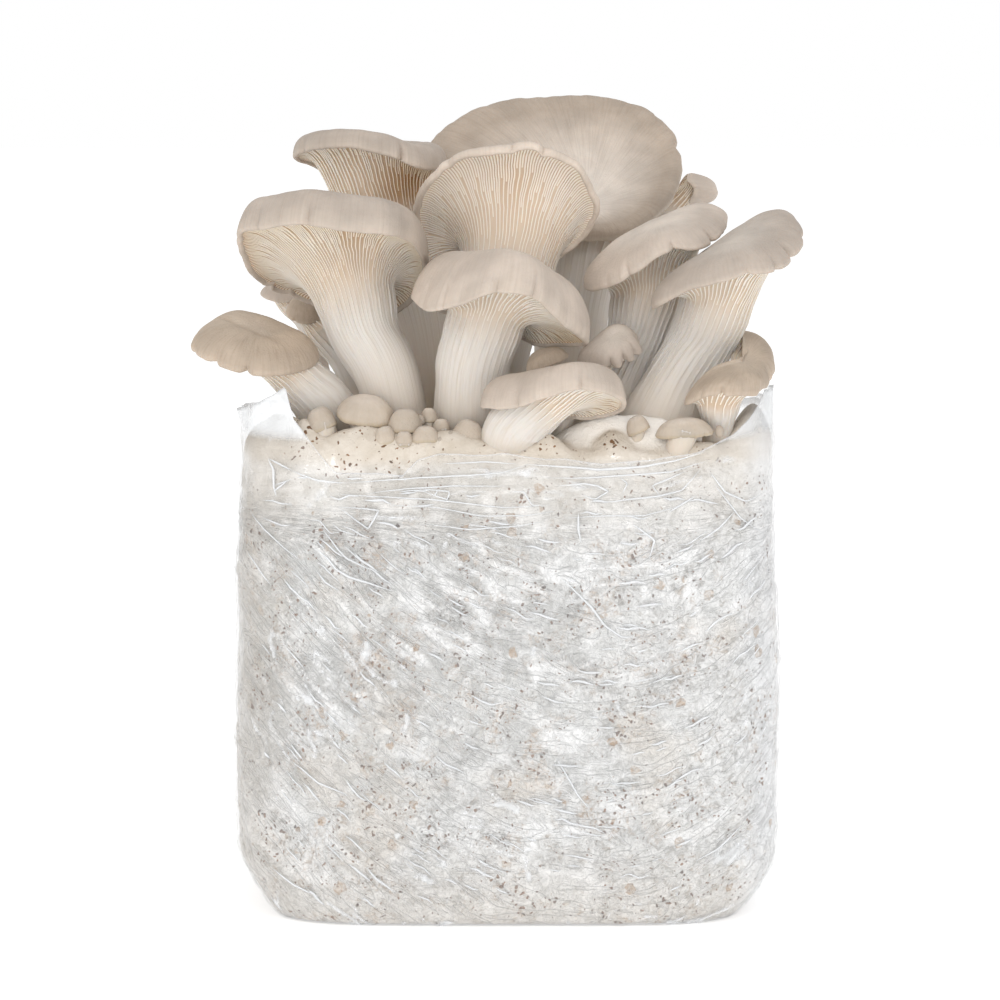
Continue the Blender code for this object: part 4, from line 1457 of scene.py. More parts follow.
    def build(self, gills: MeshTree, finishes: Finishes) -> bpy.types.Object:
        """Makes the fruit body.

        Args:
            gills: The tree that raises the blades.
            finishes: The materials.

        Returns:
            The finished piece.
        """
        crown = np.array(self.crown, float)
        rows = self.foot()
        share, ring, normal = self.facing_up(crown, rows)
        out = ring - crown
        out = unit(out - np.outer(out @ normal, normal))
        moved, cut = self.margin(ring, share, out, normal)
        turns = self.turns(ring, share, rows)
        last = len(rows) - 1
        sections = [self.stem_ring(rows, last * k / self.stem_rows, turns)
                    for k in range(self.stem_rows + 1)]
        stem = np.array([section[0] for section in sections])
        buried = stem[0] - np.array([0.0, 0.0, self.sunk])
        neck, climb = sections[-1]
        slope = np.linspace(0.0, 1.0, self.gill_rows + 1)[1:]
        under = self.underside(slope, neck, climb, ring - out * self.lip, out, normal)
        under += moved * (slope[:, None] ** 4)[..., None] + cut * (slope[:, None] ** 12)[..., None]
        rolled = np.array([
            ring + moved + cut + out * (0.5 * self.lip * (math.cos(bend) - 1.0))
            - normal * (0.55 * self.lip * math.sin(bend))
            for bend in np.linspace(math.pi, 0.0, self.LIP_ROWS + 1)[1:]
        ])
        shares = 1.0 - np.linspace(0.0, 1.0, self.top_rows + 1)[1:-1] ** self.TOP_POWER
        top = np.array([self.top_ring(s, ring, crown, normal, moved, cut) for s in shares])
        grid = np.concatenate([buried[None], stem, under, rolled, top])

        body = Skin(f"fruit_{self.name}", buried.mean(axis=0), grid, crown)
        along = np.concatenate(
            [[-1.1], np.linspace(-1.0, 0.0, self.stem_rows + 1), slope,
             np.ones(self.LIP_ROWS + len(shares))]
        )
        across = np.concatenate([np.ones(len(along) - len(shares)), shares])
        normals = grid_normals(grid) * body.outward()
        start = self.blade_starts(len(ring) // 2)
        rise = self.blade_rise(along[:, None], start[None, :])
        relief = self.relief(grid, share, along, across, start)
        body.rows = grid + normals * relief[..., None]
        body.last = body.rows[-1].mean(axis=0)
        mesh = body.mesh()
        self.mark(mesh, body, along, across, share, rise, start)
        mesh.materials.append(finishes.cuticles[self.tone])
        piece = place(body.name, mesh)
        gills.run_on(piece, Depth=self.gill_depth * MM, Flesh=finishes.flesh)
        piece.data.set_sharp_from_angle(angle=self.SHARP)
        return piece

    def margin(self, ring: np.ndarray, share: np.ndarray, out: np.ndarray,
               normal: np.ndarray) -> tuple[np.ndarray, np.ndarray]:
        """How the margin leaves the even rim.

        Args:
            ring: The even rim.
            share: Each point's share of the way round.
            out: The direction outwards at each point.
            normal: The cap's mean direction upwards.

        Returns:
            How far each point wavers, and how far its notches and nicks move it.
        """
        nick = np.zeros(len(ring))
        for notch in self.notches:
            at = share[np.argmin(np.linalg.norm(ring - [notch.x, notch.y, notch.z], axis=1))]
            away = np.abs((share - at + 0.5) % 1.0 - 0.5) * self.length
            nick += notch.deep * np.clip(1.0 - away / notch.wide, 0.0, 1.0) ** 1.3
        valleys = np.clip(1.0 - np.abs(self.around(share, 12.0, 16.5)) / 0.2, 0.0, 1.0) ** 1.5
        nick += self.scallop * valleys * np.clip(0.7 + self.around(share, 30.0, 27.5), 0.0, 1.3)
        wave = self.waver * (
            0.8 * self.around(share, 11.0, 0.5) + 0.35 * self.around(share, 3.2, 4.5)
        )
        lift = self.waver * (
            1.2 * self.around(share, 16.0, 8.5) + 0.3 * self.around(share, 4.0, 12.5)
        )
        moved = out * wave[:, None] + np.outer(lift, normal)
        return moved, np.outer(0.35 * nick, normal) - out * nick[:, None]

    def underside(self, slope: np.ndarray, neck: np.ndarray, climb: np.ndarray,
                  inner: np.ndarray, out: np.ndarray, normal: np.ndarray) -> np.ndarray:
        """The rings of the underside, whose gills waver a little from side to side.

        Args:
            slope: Each ring's share of the way from the neck to the lip.
            neck: The stem's last ring.
            climb: The stem's direction there.
            inner: The lip's inner edge.
            out: The direction outwards at each point of the rim.
            normal: The cap's mean direction upwards.

        Returns:
            One ring of points for each share.
        """
        reach = np.linalg.norm(inner - neck, axis=1)
        leave = np.outer(reach * self.flare, climb)
        arrive = out * self.ARRIVE_OUT - normal * self.ARRIVE_DOWN
        arrive = arrive * (reach * self.ARRIVE)[:, None]
        share = slope[:, None, None]
        rings = (
            (2 * share**3 - 3 * share**2 + 1) * neck
            + (share**3 - 2 * share**2 + share) * leave
            + (3 * share**2 - 2 * share**3) * inner
            + (share**3 - share**2) * arrive
        )
        swing = 0.9 * self.gill_pitch * (Lattice(self.seed + 9).fractal(rings / 7.0, 2) - 0.5)
        sideways = np.cross(normal, out)
        return rings + sideways * (swing * 4.0 * slope[:, None] * (1.0 - slope[:, None]))[..., None]

    def top_ring(self, share: float, ring: np.ndarray, crown: np.ndarray, normal: np.ndarray,
                 moved: np.ndarray, cut: np.ndarray) -> np.ndarray:
        """A ring of the cap's top, from the crown at 0 to the rim at 1."""
        out = ring - crown
        height = out @ normal
        flat = out - np.outer(height, normal)
        power = self.SWELL_POWER
        crest = (power / (power + self.brow / 2)) ** (1.0 / self.brow)
        swell, whole = (
            s**power * math.sqrt(max(0.0, 1.0 - s**self.brow)) for s in (share, crest)
        )
        swell = swell / whole
        lift = height * share**self.dish + self.roll * swell
        edge = moved * share**7 + cut * share**self.cleft
        return crown + flat * share + np.outer(lift, normal) + edge

    def blade_starts(self, gills: int) -> np.ndarray:
        """How far out each column's blade begins: every second one is a shorter gill."""
        order = np.array([-self.run_down, 0.50, 0.16, 0.60])
        uneven = np.random.default_rng(self.seed).uniform(-0.16, 0.16, gills)
        return np.repeat(order[np.arange(gills) % 4] + uneven, 2)

    def blade_rise(self, along: np.ndarray, start: np.ndarray) -> np.ndarray:
        """A blade's height from 0 to 1: it grows from its start and thins out at the margin."""
        begun = smooth_step((along - start) / 0.28)
        return begun * np.clip((1.0 - along) / 0.14, 0.0, 1.0) ** 0.6

    def relief(self, grid: np.ndarray, share: np.ndarray, along: np.ndarray, across: np.ndarray,
               start: np.ndarray) -> np.ndarray:
        """How far each point stands out: cap fibrils and dents, and streaks down the stem."""
        noise = Lattice(self.seed + 60)
        on_top = (across < 1.0)[:, None]
        margin = across[:, None] ** 5
        fibrils = 0.02 * self.around(share, 2.0, 20.5) + 0.05 * self.around(share, 6.0, 24.5)
        dents = self.dents * (noise.fractal(grid / 15.0, 3) - 0.5)
        cap = fibrils[None, :] * margin + dents * (1.0 - 0.5 * margin)
        for half_width, depth, corners in self.folds:
            cap = cap - depth * np.exp(-((away_from(grid, corners) / half_width) ** 2))
        long_gill = (start < 0.0)[None, :] * 1.0
        fade = smooth_step((along[:, None] + 0.9) / 0.7) * smooth_step((0.1 - along[:, None]) / 0.2)
        streaks = 0.06 * self.around(share, 5.0, 30.5) + 0.14 * self.around(share, 12.0, 34.5)
        uneven = 1.2 * (noise.fractal(grid / 13.0, 3) - 0.5)
        stem = long_gill * 0.13 * fade + streaks[None, :] + uneven
        sink = -0.5 * self.gill_depth * smooth_step(along[:, None] / 0.3)
        sink = sink * np.clip((1.0 - along[:, None]) / 0.14, 0.0, 1.0)
        below = np.where(along[:, None] <= 0.0, stem, sink + stem * (1.0 - along[:, None]) * 0.5)
        return np.where(on_top, cap, below * (along[:, None] < 1.0))

    def mark(self, mesh: bpy.types.Mesh, body: Skin, along: np.ndarray, across: np.ndarray,
             share: np.ndarray, rise: np.ndarray, start: np.ndarray) -> None:
        """Keeps what the gills and the finishes read from the mesh."""
        count = body.rows.shape[:2]
        wide = np.ones(count)
        aged = along if self.ripe else np.where(along < 0.0, -1.0, along)
        store(mesh, "along", wide * aged[:, None], -1.1, 1.0)
        store(mesh, "across", wide * across[:, None], 1.0, 0.0)
        store(mesh, "rise", np.clip(rise, 0.0, 1.0) * wide, 0.0, 0.0)
        # real stain, with painted shade that browns the gills under the margin
        outer = self.margin_painted_shade * smooth_step((along[:, None] - 0.45) / 0.5)
        stain = np.clip(spotted(body.rows, self.stain, self.stain_and_shade_spots) + outer, 0.0, 1.0)
        store(mesh, "stain", stain, 0.0, 0.0)
        # the shade kept on the mesh is painted light and shade: the spots everywhere, and the cap's
        # painted light on its top and lip
        shade = np.clip(spotted(body.rows, 1.0, self.painted_light_and_shade), 0.3, 1.3)
        # the cap's top gets its painted light and shade in full, the lip half of it
        tone = np.where(across[:, None] < 1.0, self.depth_of_tone, 0.5 + 0.5 * self.depth_of_tone)
        shade = shade * np.where(along[:, None] < 1.0, 1.0, tone)
        store(mesh, "shade", shade, 1.0, float(shade[-1].mean()))
        turn = 2 * math.pi * share
        radius = self.length / (2 * math.pi) * MM
        travel = np.where(across < 1.0, 1.0 - across, 0.0) - np.minimum(along, 1.0) + 1.0
        deep = travel[:, None] * self.FIBRE_LENGTH * MM * self.FIBRE_STRETCH * np.ones(count)
        fibre = np.stack(
            [np.cos(turn) * radius * wide, np.sin(turn) * radius * wide, deep], axis=-1
        )
        ends = np.array([[0.0, 0.0, deep[0, 0]], [0.0, 0.0, deep[-1, 0]]])
        store_vectors(mesh, "fibre", fibre, ends)
        rows, columns = count
        middle = (along[:-1] + along[1:]) / 2
        below = 1 + self.stem_rows + self.gill_rows
        outward = np.concatenate([middle[:below], np.full(rows - 1 - below, 2.0)])
        column = np.arange(columns)
        blade = (column % 2 == 0)[None, :] & (outward[:, None] > start[None, :] + 0.04)
        blade &= (outward < 0.99)[:, None]
        fans = np.zeros(columns, bool)
        under = np.repeat(outward < 1.5, columns)
        for name, foot, faces in (("blade", fans, blade.ravel()), ("under", ~fans, under)):
            values = np.concatenate([foot, faces, fans])
            mesh.attributes.new(name, "BOOLEAN", "FACE").data.foreach_set("value", values)


def button(name: str, centre: tuple, half: tuple, height: float, foot: tuple, radius: float,
           lean: tuple = (0.0, 0.0), **more: object) -> FruitBody:
    """A young fruit body: a small round cap on a short stem.

    Args:
        name: The node's name without its prefix.
        centre: The middle of the cap's edge.
        half: The cap's half widths along X and Y.
        height: How far the cap rises over its edge.
        foot: Where the stem stands on the block.
        radius: The stem's radius.
        lean: How much the edge climbs for each millimetre along X and Y.
        more: Other fields of the fruit body.

    Returns:
        The fruit body.
    """
    x, y, z = centre
    rim = []
    for i in range(8):
        turn = 2 * math.pi * i / 8
        dx, dy = half[0] * math.cos(turn), half[1] * math.sin(turn)
        rim.append((x + dx, y + dy, z + lean[0] * dx + lean[1] * dy))
    stem = ((*foot, None, radius, radius), (x, y, z + 0.3 * height, radius, radius))
    crown = (x - lean[0] * height * 0.5, y - lean[1] * height * 0.5, z + height)
    settings = dict(
        roll=0.22 * height, dish=2.3, lip=0.3 * min(half), gill_depth=0.2, gill_pitch=0.9,
        tone=CapTone.BUTTON, waver=0.7, scallop=0.5, dents=0.5, stem_rows=12, gill_rows=9,
        top_rows=18, sunk=3.0, stain=0.3, ripe=False,
    )
    settings.update(more)
    return FruitBody(name, stem, tuple(rim), crown, **settings)


FRUIT_BODIES = (
    FruitBody(
        "front_center",
        stem=((-14, -35, None, 14, 10), (-13, -38, 203, 13.5, 11), (-8, -41, 222, 14, 11)),
        rim=(
            (-35, -50, 231), (-30, -62, 229), (-18, -73, 231), (-4, -78, 236), (9, -76, 234),
            (18, -67, 226), (26, -58, 219), (30, -50, 215), (28, -43, 213), (20, -35, 212),
            (12, -29, 212), (4, -24, 215), (-9, -21, 219), (-24, -24, 224), (-33, -37, 229),
        ),
        crown=(-3, -46, 243), roll=8, dish=2.7, lip=2.2, seed=3, depth_of_tone=1.05,
        notches=(Notch(-4, -78, 236, 2.5, 4), Notch(10, -75, 233, 2.0, 3),
                 Notch(-24, -68, 230, 1.2, 2)),
        stain_and_shade_spots=(Spot(24, -44, 214, 26, 0.6),),
    ),
    FruitBody(
        "front_low",
        stem=((0, -53, None, 10, 7.5), (3, -57, 184, 11, 8), (12, -60, 193, 10, 7.5)),
        rim=(
            (-10, -62, 192), (1, -72, 194), (13, -78, 198), (24, -79, 201), (34, -75, 200),
            (41, -68, 197), (44, -60, 193), (41, -52, 189), (32, -47, 186), (20, -46, 187),
            (8, -47, 190), (-3, -52, 192),
        ),
        crown=(22, -60, 203), roll=7, dish=2.2, lip=2.0, seed=5, depth_of_tone=1.04,
        notches=(Notch(27, -79, 201, 2.0, 3), Notch(2, -73, 195, 1.5, 2.5)),
        stain_and_shade_spots=(Spot(38, -54, 190, 18, 0.35),),
    ),
    FruitBody(
        "left_tall",
        stem=(
            (-39, -31, None, 11, 10), (-45, -29, 200, 12, 11), (-53, -26, 215, 13, 12),
            (-57, -24, 229, 15, 14),
        ),
        rim=(
            (-99, -44, 255), (-89, -58, 258), (-75, -68, 260), (-57, -72, 258),
            (-42, -66, 256), (-33, -50, 251), (-29, -30, 241), (-34, -12, 229),
            (-44, -5, 221), (-62, 0, 220), (-80, 0, 227), (-93, -8, 233), (-99, -26, 244),
        ),
        crown=(-62, -27, 249), roll=13, dish=1.7, lip=2.4, seed=7, gill_pitch=1.2, gill_depth=0.5,
        notches=(Notch(-72, -69, 260, 1.8, 2.5), Notch(-92, -54, 257, 1.5, 3),
                 Notch(-92, -4, 234, 2.5, 3), Notch(-84, 0, 231, 1.5, 3)),
        depth_of_tone=0.90, margin_painted_shade=0.5, stain=0.2,
        stain_and_shade_spots=(Spot(-56, -56, 246, 26, 0.25),), painted_light_and_shade=(Spot(-34, -40, 238, 22, -0.25),),
    ),
    FruitBody(
        "upper_left",
        stem=(
            (-27, 11, None, 9, 8), (-32, 13, 213, 11, 9), (-39, 14, 240, 15, 12),
            (-45, 14, 256, 18, 15),
        ),
        rim=(
            (-82, 2, 281), (-72, -12, 285), (-59, -20, 285), (-44, -22, 283),
            (-31, -14, 277), (-23, 6, 277), (-30, 32, 278), (-50, 42, 278),
            (-65, 32, 272), (-75, 16, 277),
        ),
        crown=(-50, 12, 280), roll=7, dish=2.0, lip=2.0, seed=9,
        depth_of_tone=0.82, gill_pitch=1.25, gill_depth=0.6, stain=0.2,
        stain_and_shade_spots=(Spot(-33, -8, 268, 26, 0.75),),
        painted_light_and_shade=(Spot(-29, 8, 205, 45, 0.3), Spot(-38, -6, 266, 50, 0.2)),
        notches=(Notch(-39, -20, 281, 2.5, 2.5), Notch(-78, -6, 283, 1.5, 3)),
    ),
    FruitBody(
        "center_fan",
        stem=(
            (-10, -10, None, 13, 8), (-7, -8, 208, 16, 9), (-3, -5, 226, 17, 10),
            (0, -3, 240, 18, 10),
        ),
        rim=(
            (-36, -13, 257), (-30, -28, 273), (-17, -36, 283), (-1, -40, 286),
            (12, -40, 287), (27, -34, 278), (34, -24, 265), (31, -12, 252),
            (19, -2, 242), (5, 8, 238), (-14, 9, 237), (-30, 0, 240),
        ),
        crown=(0, 7, 257), roll=3, dish=1.6, lip=3.0, gill_pitch=1.3, gill_depth=0.45, seed=11,
        waver=1.1, margin_painted_shade=0.15, painted_light_and_shade=(Spot(4, -24, 262, 60, 0.27),),
        notches=(Notch(14, -40, 286, 2.5, 3), Notch(2, -40, 286, 1.2, 2),
                 Notch(-22, -33, 279, 1.2, 3)),
        stain_and_shade_spots=(Spot(3, -30, 268, 18, 0.4),),
    ),
    FruitBody(
        "back_large",
        stem=(
            (24, 22, None, 14, 12), (25, 26, 212, 14, 12), (28, 30, 232, 15, 14),
            (31, 34, 244, 17, 16),
        ),
        rim=(
            (32, 8, 248), (15, 8, 250), (-10, 18, 257), (-30, 34, 276), (-30, 46, 284),
            (-11, 60, 297), (21, 70, 301), (49, 68, 299), (66, 58, 287), (69, 44, 273),
            (62, 28, 259), (47, 14, 249),
        ),
        crown=(31, 26, 262), roll=5, dish=1.5, seed=13, tone=CapTone.TAUPE, waver=1.2,
        top_rows=60, notches=(Notch(67, 52, 282, 3.5, 4), Notch(50, 68, 299, 1.5, 4)),
        folds=((1.4, 1.4, ((67, 52, 283), (60, 50, 280), (51, 46, 276))),),
        painted_light_and_shade=(Spot(58, 26, 262, 30, -0.16), Spot(20, 68, 300, 30, -0.05)),
    ),
    FruitBody(
        "right_inner",
        stem=(
            (31, -26, None, 14, 9), (41, -21, 194, 14, 9), (49, -15, 210, 12, 9),
            (53, -11, 223, 14, 10),
        ),
        rim=(
            (28, -20, 233), (35, -32, 233), (47, -42, 240), (59, -44, 247), (73, -36, 249),
            (81, -20, 254), (83, -4, 259), (76, 8, 257), (56, 6, 249), (37, -3, 239),
        ),
        crown=(56, -14, 257), roll=3, dish=2.0, lip=2.0, scallop=1.5, cleft=11, run_down=0.7,
        seed=15, depth_of_tone=1.05,
        notches=(Notch(62, -43, 248, 2.5, 3), Notch(77, -30, 250, 2.5, 3),
                 Notch(44, -40, 239, 1.5, 3)),
        stain_and_shade_spots=(Spot(40, -26, 228, 14, 0.4),),
    ),
    FruitBody(
        "right_outer",
        stem=(
            (53, -40, None, 17, 6.5), (62, -33, 194, 13, 9), (71, -29, 210, 12, 9),
            (77, -31, 225, 13, 10),
        ),
        rim=(
            (52, -42, 226), (65, -54, 234), (81, -60, 239), (94, -58, 241), (102, -50, 243),
            (109, -36, 249), (111, -20, 256), (104, -9, 259), (92, -12, 253), (76, -22, 242),
            (61, -34, 231),
        ),
        crown=(82, -38, 251), roll=3, dish=2.0, lip=2.0, scallop=1.8, cleft=10, run_down=0.7,
        seed=17, depth_of_tone=0.89,
        notches=(Notch(106, -44, 246, 3.0, 3), Notch(99, -54, 242, 2.0, 3),
                 Notch(88, -60, 240, 1.5, 3)),
    ),
    FruitBody(
        "right_low",
        stem=((78, -43, None, 6, 6), (78, -45, 184, 6, 6), (78, -49, 192, 8, 6)),
        rim=(
            (65, -52, 192), (72, -61, 195), (83, -62, 196), (93, -54, 196), (97, -42, 199),
            (100, -30, 203), (99, -18, 208), (94, -10, 212), (88, -9, 213), (89, -18, 210),
            (89, -32, 206), (83, -43, 204), (72, -48, 200),
        ),
        crown=(87, -45, 207), roll=3, dish=2.0, scallop=1.6, cleft=10, tone=CapTone.DARK, seed=19,
        run_down=0.3, gill_depth=0.4, depth_of_tone=1.02,
        notches=(Notch(97, -40, 200, 3.0, 3), Notch(77, -62, 195, 1.5, 2)),
        stain_and_shade_spots=(Spot(78, -54, 192, 14, 0.3),),
    ),
    FruitBody(
        "left_low",
        stem=((-63, -32, None, 12, 10), (-69, -32, 190, 11, 10), (-78, -33, 200, 9, 11)),
        rim=(
            (-118, -30, 211), (-112, -40, 208), (-103, -48, 205), (-92, -52, 203),
            (-82, -50, 203), (-73, -42, 205), (-70, -34, 207), (-73, -26, 209),
            (-84, -16, 213), (-93, -10, 216), (-105, -6, 218), (-114, -14, 215),
        ),
        crown=(-92, -29, 219), roll=3, dish=2.4, lip=2.0, tone=CapTone.DARK, seed=21,
        notches=(Notch(-109, -44, 206, 2.0, 3), Notch(-96, -51, 204, 2.5, 3)),
        folds=((2.0, 1.0, ((-104, -24, 221), (-97, -32, 220), (-90, -38, 216), (-84, -42, 211))),
               (3.0, 1.0, ((-85, -39, 214), (-82, -41, 209)))),
    ),
    FruitBody(
        "back_right",
        stem=((50, 40, 176, 6, 6), (52, 45, 225, 6, 6), (58, 49, 247, 6, 6), (65, 52, 257, 6, 6)),
        rim=(
            (71, 49, 270), (74, 47, 266), (73, 48, 262), (71, 52, 259), (69, 58, 260),
            (68, 62, 265), (70, 60, 270), (72, 54, 272),
        ),
        crown=(83, 54, 264), roll=3, dish=2.4, lip=1.0, gill_pitch=1.1, stain=0.4, seed=23,
    ),
    FruitBody(
        "middle_shell",
        stem=((18, -42, None, 4, 3.5), (24, -40, 196, 4, 4), (33, -37, 205, 5, 4)),
        rim=(
            (26, -39, 205), (30, -33, 208), (36, -30, 214), (41, -29, 217), (47, -30, 216),
            (50, -35, 211), (47, -41, 207), (41, -45, 204), (34, -44, 204),
        ),
        crown=(39, -39, 216), roll=3, dish=2.2, lip=1.4, gill_pitch=1.2, scallop=1.0,
        cleft=7, seed=25,
        notches=(Notch(38, -45, 204, 1.8, 2.6), Notch(44, -43, 205, 2.2, 2.6),
                 Notch(48, -39, 208, 2.2, 2.6), Notch(50, -34, 212, 1.8, 2.4)),
    ),
    FruitBody(
        "middle_small",
        stem=((8, -40, None, 3.5, 3.5), (11, -42, 200, 3.5, 3.5), (13, -43, 205, 3.5, 3.5)),
        rim=(
            (7, -45, 202), (11, -48, 204), (16, -48, 206), (21, -45, 208), (22, -42, 209),
            (18, -39, 209), (12, -39, 208), (8, -41, 206),
        ),
        crown=(14, -44, 211), roll=1.5, lip=1.0, gill_depth=0.5, gill_pitch=1.0,
        tone=CapTone.DARK, seed=27,
    ),
    FruitBody(
        "left_dark",
        stem=((-52, 8, None, 8, 7), (-60, 9, 200, 7, 6), (-71, 12, 213, 6, 5)),
        rim=(
            (-85, 10, 220), (-80, 7, 217), (-74, 8, 217), (-70, 13, 219), (-72, 19, 220),
            (-78, 20, 221), (-83, 17, 222),
        ),
        crown=(-79, 14, 227), roll=1.5, lip=1.0, gill_depth=0.5, gill_pitch=1.1,
        tone=CapTone.DARK, seed=29,
    ),
    FruitBody(
        "left_flat",
        stem=((-68, 20, None, 4, 4), (-76, 23, 210, 3.5, 3.5), (-85, 25, 222, 3.5, 3.5)),
        rim=(
            (-96, 24, 227), (-90, 20, 224), (-82, 20, 224), (-78, 25, 226), (-82, 31, 228),
            (-90, 31, 229),
        ),
        crown=(-87, 25, 230), roll=1.0, lip=0.8, gill_depth=0.4, gill_pitch=1.0, seed=31,
    ),
)

BUTTONS = (
    button("wide", (-52.5, -48, 187), (11, 8), 7.5, (-49, -47), 7, (-0.08, 0.25), seed=41,
           depth_of_tone=1.04, waver=1.2),
    button("left", (-68, -50, 183), (5.5, 5), 7.5, (-66, -50), 4.4, (0.35, 0.1), seed=42,
           depth_of_tone=0.88),
    button("round", (-37.5, -52.5, 183), (6.4, 5.5), 7.2, (-37.5, -51.5), 3.6, seed=43),
    button("front_a", (-44.5, -57, 178.5), (4.4, 3.8), 5.6, (-44, -55), 3.4, (0.25, 0),
           seed=44),
    button("front_b", (-37.8, -58.5, 178), (3.8, 2.8), 4.6, (-37.8, -55), 3.2, seed=45),
    button("front_c", (-30, -57.5, 178.5), (5.2, 4), 5.8, (-30, -55), 4, seed=46),
    button("right", (-24.3, -51, 181.5), (3.6, 3), 4.8, (-24.3, -51), 2.8, seed=47),
    button("back", (-29, -47, 185), (3.3, 2.8), 5, (-29.5, -47.5), 2.4, seed=48),
    button("leaning", (-14.5, -54, 179.5), (5.8, 4.2), 6.6, (-15.5, -53), 3.6, (-0.35, 0), seed=49),
    button("long", (65, -54.5, 181), (10.6, 5), 6, (63, -54.5), 5, (0.06, 0.1), seed=50),
    button("shell", (48.5, -52, 182), (4.2, 4), 5.6, (47, -50.5), 2.8, (0.45, 0), seed=51),
)


class Pinheads:
    """The smallest fruit bodies, still closed knobs, which stand among the buttons."""

    # x, y, z and radius of each knob
    PLACES = (
        (-21.0, -57.0, 180.0, 1.9), (-24.8, -58.5, 179.0, 1.5), (-32.0, -51.0, 186.0, 1.6),
        (78.0, -54.0, 182.0, 1.7),
    )
    TALLER = 1.35
    SEED = 3
    # what the cap skin reads from the mesh: how far out it is, and its shade, a painted shade that
    # darkens the knobs all over
    FINISH = (("across", 0.7), ("shade", 0.85))

    def build(self, tone: bpy.types.Material) -> bpy.types.Object:
        """Makes all the knobs as one mesh."""
        mesh = bpy.data.meshes.new("pinheads")
        places = np.array(self.PLACES)
        mesh.vertices.add(len(places))
        mesh.vertices.foreach_set("co", (places[:, :3] * MM + MIDDLE).ravel())
        mesh.attributes.new("size", "FLOAT", "POINT").data.foreach_set("value", places[:, 3] * MM)
        piece = place("pinheads", mesh)
        tree = MeshTree("set_knobs", Skin="Material", Seed="Int")
        size = tree.kept("size")
        knob = tree.add("GeometryNodeMeshIcoSphere", {"Radius": 1.0, "Subdivisions": 4})["Mesh"]
        turn = tree.add(
            "FunctionNodeRandomValue",
            {0: (-0.5, -0.5, 0.0), 1: (0.5, 0.5, 6.28), "Seed": tree.given["Seed"]},
            data_type="FLOAT_VECTOR",
        )["Value"]
        links = {0: size, 1: size, 2: tree.times(size, self.TALLER)}
        set_out = tree.add(
            "GeometryNodeInstanceOnPoints",
            {"Points": tree.given["Geometry"], "Rotation": turn,
             "Instance": tree.add("GeometryNodeSetShadeSmooth", {0: knob})[0],
             "Scale": tree.add("ShaderNodeCombineXYZ", links)[0]},
        )[0]
        tree.finish(set_out, "Skin")
        tree.run_on(piece, Skin=tone, Seed=self.SEED)
        points = len(piece.data.vertices)
        for name, value in self.FINISH:
            made = piece.data.attributes.new(name, "FLOAT", "POINT")
            made.data.foreach_set("value", np.full(points, value, np.float32))
        return piece


@dataclass
class Finishes:
    """The materials that the fruit bodies share."""

    flesh: bpy.types.Material
    cuticles: dict

    @classmethod
    def made(cls) -> Finishes:
        """Builds every shared material once."""
        return cls(Flesh().material(), {tone: tone.value.material() for tone in CapTone})


# ---------------------------------------------------------------- studio


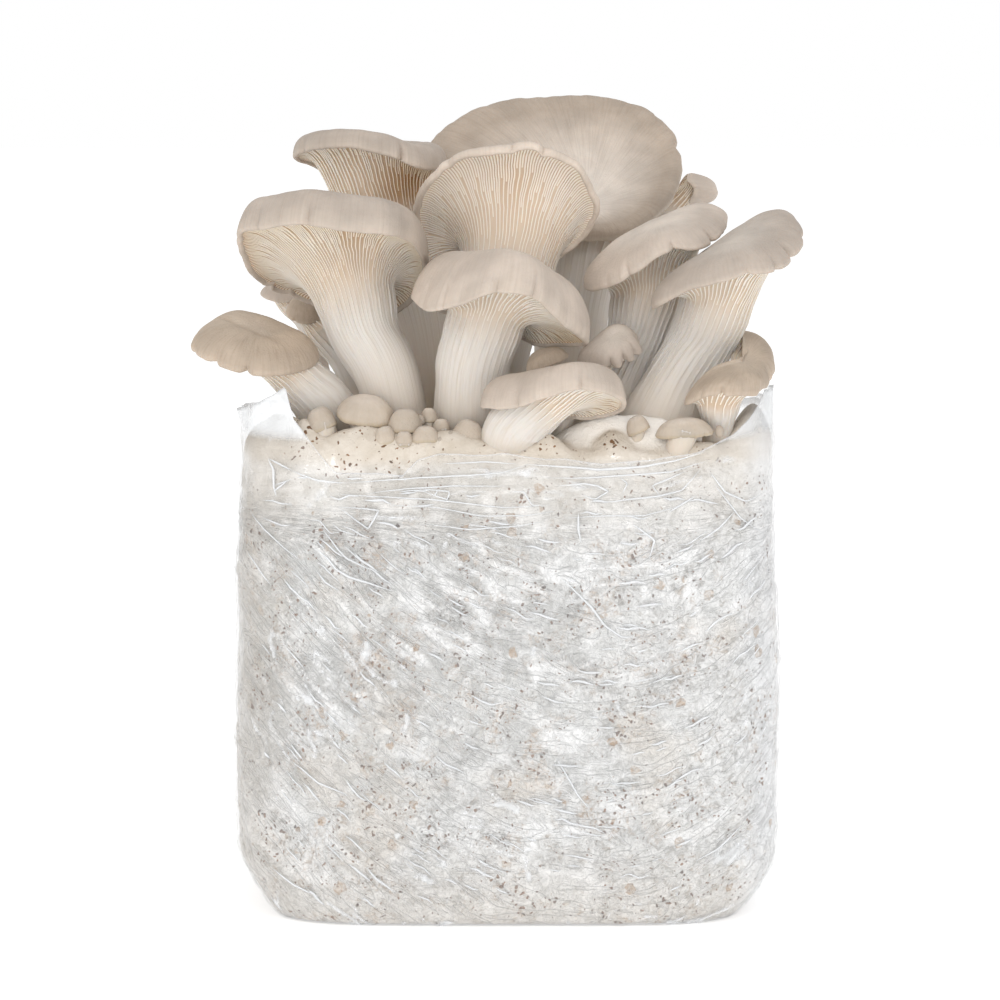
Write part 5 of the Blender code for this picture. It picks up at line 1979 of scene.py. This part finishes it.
@dataclass
class Studio:
    """Floor, lights and camera."""

    tilt: float = math.radians(8.0)
    distance: float = 1.3
    lens: float = 121.68
    sensor: float = 36.0
    aim: tuple = (0.0007, 0.0043, 0.153)
    ambient: float = 0.74
    floor_half: float = 8.0
    # how often light may bounce, in all and by kind
    bounces: tuple = (
        ("max_bounces", 6), ("diffuse_bounces", 3), ("glossy_bounces", 2),
        ("transparent_max_bounces", 10),
    )
    # name, place, size, power, colour
    lights: tuple = (
        ("key", (-1.1, -1.5, 1.3), 1.1, 8.0, "#FFFEFC"),
        ("fill", (1.5, -1.3, 0.7), 1.2, 4.0, "#FAFCFF"),
        ("front", (-0.2, -2.0, 0.35), 1.0, 3.8, "#FFFFFF"),
        ("top", (0.2, 0.2, 1.9), 1.2, 4.5, "#FFFFFF"),
        ("glint", (0.35, -1.4, 1.0), 0.16, 1.6, "#FFFFFF"),
        ("glint_left", (-0.7, -1.3, 0.35), 0.16, 1.2, "#FFFFFF"),
    )

    def light(self, name: str, at: tuple, size: float, power: float, colour: str) -> None:
        """Hangs one soft square light that faces the bag."""
        lamp = bpy.data.lights.new(name, "AREA")
        lamp.size = size
        lamp.energy = power
        lamp.color = linear(colour)[:3]
        made = place(name, lamp)
        made.location = at
        towards = Vector(self.aim) - Vector(at)
        made.rotation_euler = towards.to_track_quat("-Z", "Y").to_euler()

    def camera(self) -> None:
        """Stands the camera at the photograph's angle."""
        lens = bpy.data.cameras.new("camera")
        lens.lens = self.lens
        lens.sensor_width = self.sensor
        made = place("camera", lens)
        back = Vector((0.0, -math.cos(self.tilt), math.sin(self.tilt)))
        made.location = Vector(self.aim) + back * self.distance
        made.rotation_euler = (-back).to_track_quat("-Z", "Y").to_euler()
        bpy.context.scene.camera = made

    def world(self) -> None:
        """White surroundings, seen at full white and lighting the bag more gently."""
        made = bpy.data.worlds.new("white_studio")
        made.use_nodes = True
        tree = made.node_tree
        tree.nodes.clear()
        path = node(tree, "ShaderNodeLightPath")
        strength = node(
            tree, "ShaderNodeMapRange",
            {"Value": path.outputs["Is Camera Ray"], "To Min": self.ambient, "To Max": 1.0},
        )
        sky = node(
            tree, "ShaderNodeBackground",
            {"Color": (1.0, 1.0, 1.0, 1.0), "Strength": strength.outputs["Result"]},
        )
        node(tree, "ShaderNodeOutputWorld", {"Surface": sky.outputs[0]})
        bpy.context.scene.world = made

    def floor(self) -> None:
        """Lays the floor just below the bag."""
        half = self.floor_half
        mesh = bpy.data.meshes.new("floor")
        corners = [(-half, -half, 0.0), (half, -half, 0.0), (half, half, 0.0), (-half, half, 0.0)]
        mesh.from_pydata(corners, [], [(0, 1, 2, 3)])
        mesh.materials.append(LitFloor().material())
        place("floor", mesh)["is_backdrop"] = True

    def build(self) -> None:
        """Sets up the whole studio."""
        self.floor()
        self.world()
        for row in self.lights:
            self.light(*row)
        self.camera()
        scene = bpy.context.scene
        scene.view_settings.view_transform = "Standard"
        for name, count in self.bounces:
            setattr(scene.cycles, name, count)


def main() -> None:
    """Builds every sub-assembly in order and reports each piece."""
    logging.basicConfig(level=logging.INFO, format="%(message)s")
    Studio().build()
    shape = BagShape()
    film = Film(shape)
    clear = ClearFilm().material()
    dress(film.build(clear), "film", "film_bag")
    dress(Folds(film).build(clear), "film")
    dress(Block(shape).build(), "mycelium", "colonised_block")
    gills = gill_tree()
    finishes = Finishes.made()
    slots = {CapTone.PALE: "pale_flesh", CapTone.TAUPE: "taupe_flesh", CapTone.DARK: "taupe_flesh"}
    for body in FRUIT_BODIES:
        dress(body.build(gills, finishes), slots[body.tone], f"mushroom_{body.name}")
    for body in BUTTONS:
        dress(body.build(gills, finishes), "button_flesh", f"button_{body.name}")
    dress(Pinheads().build(finishes.cuticles[CapTone.BUTTON]), "button_flesh")
    boxes = {"cad": CAD_BOX, "visual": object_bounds()}
    plain = {name: [list(corner) for corner in box] for name, box in boxes.items()}


if __name__ == "__main__":
    main()
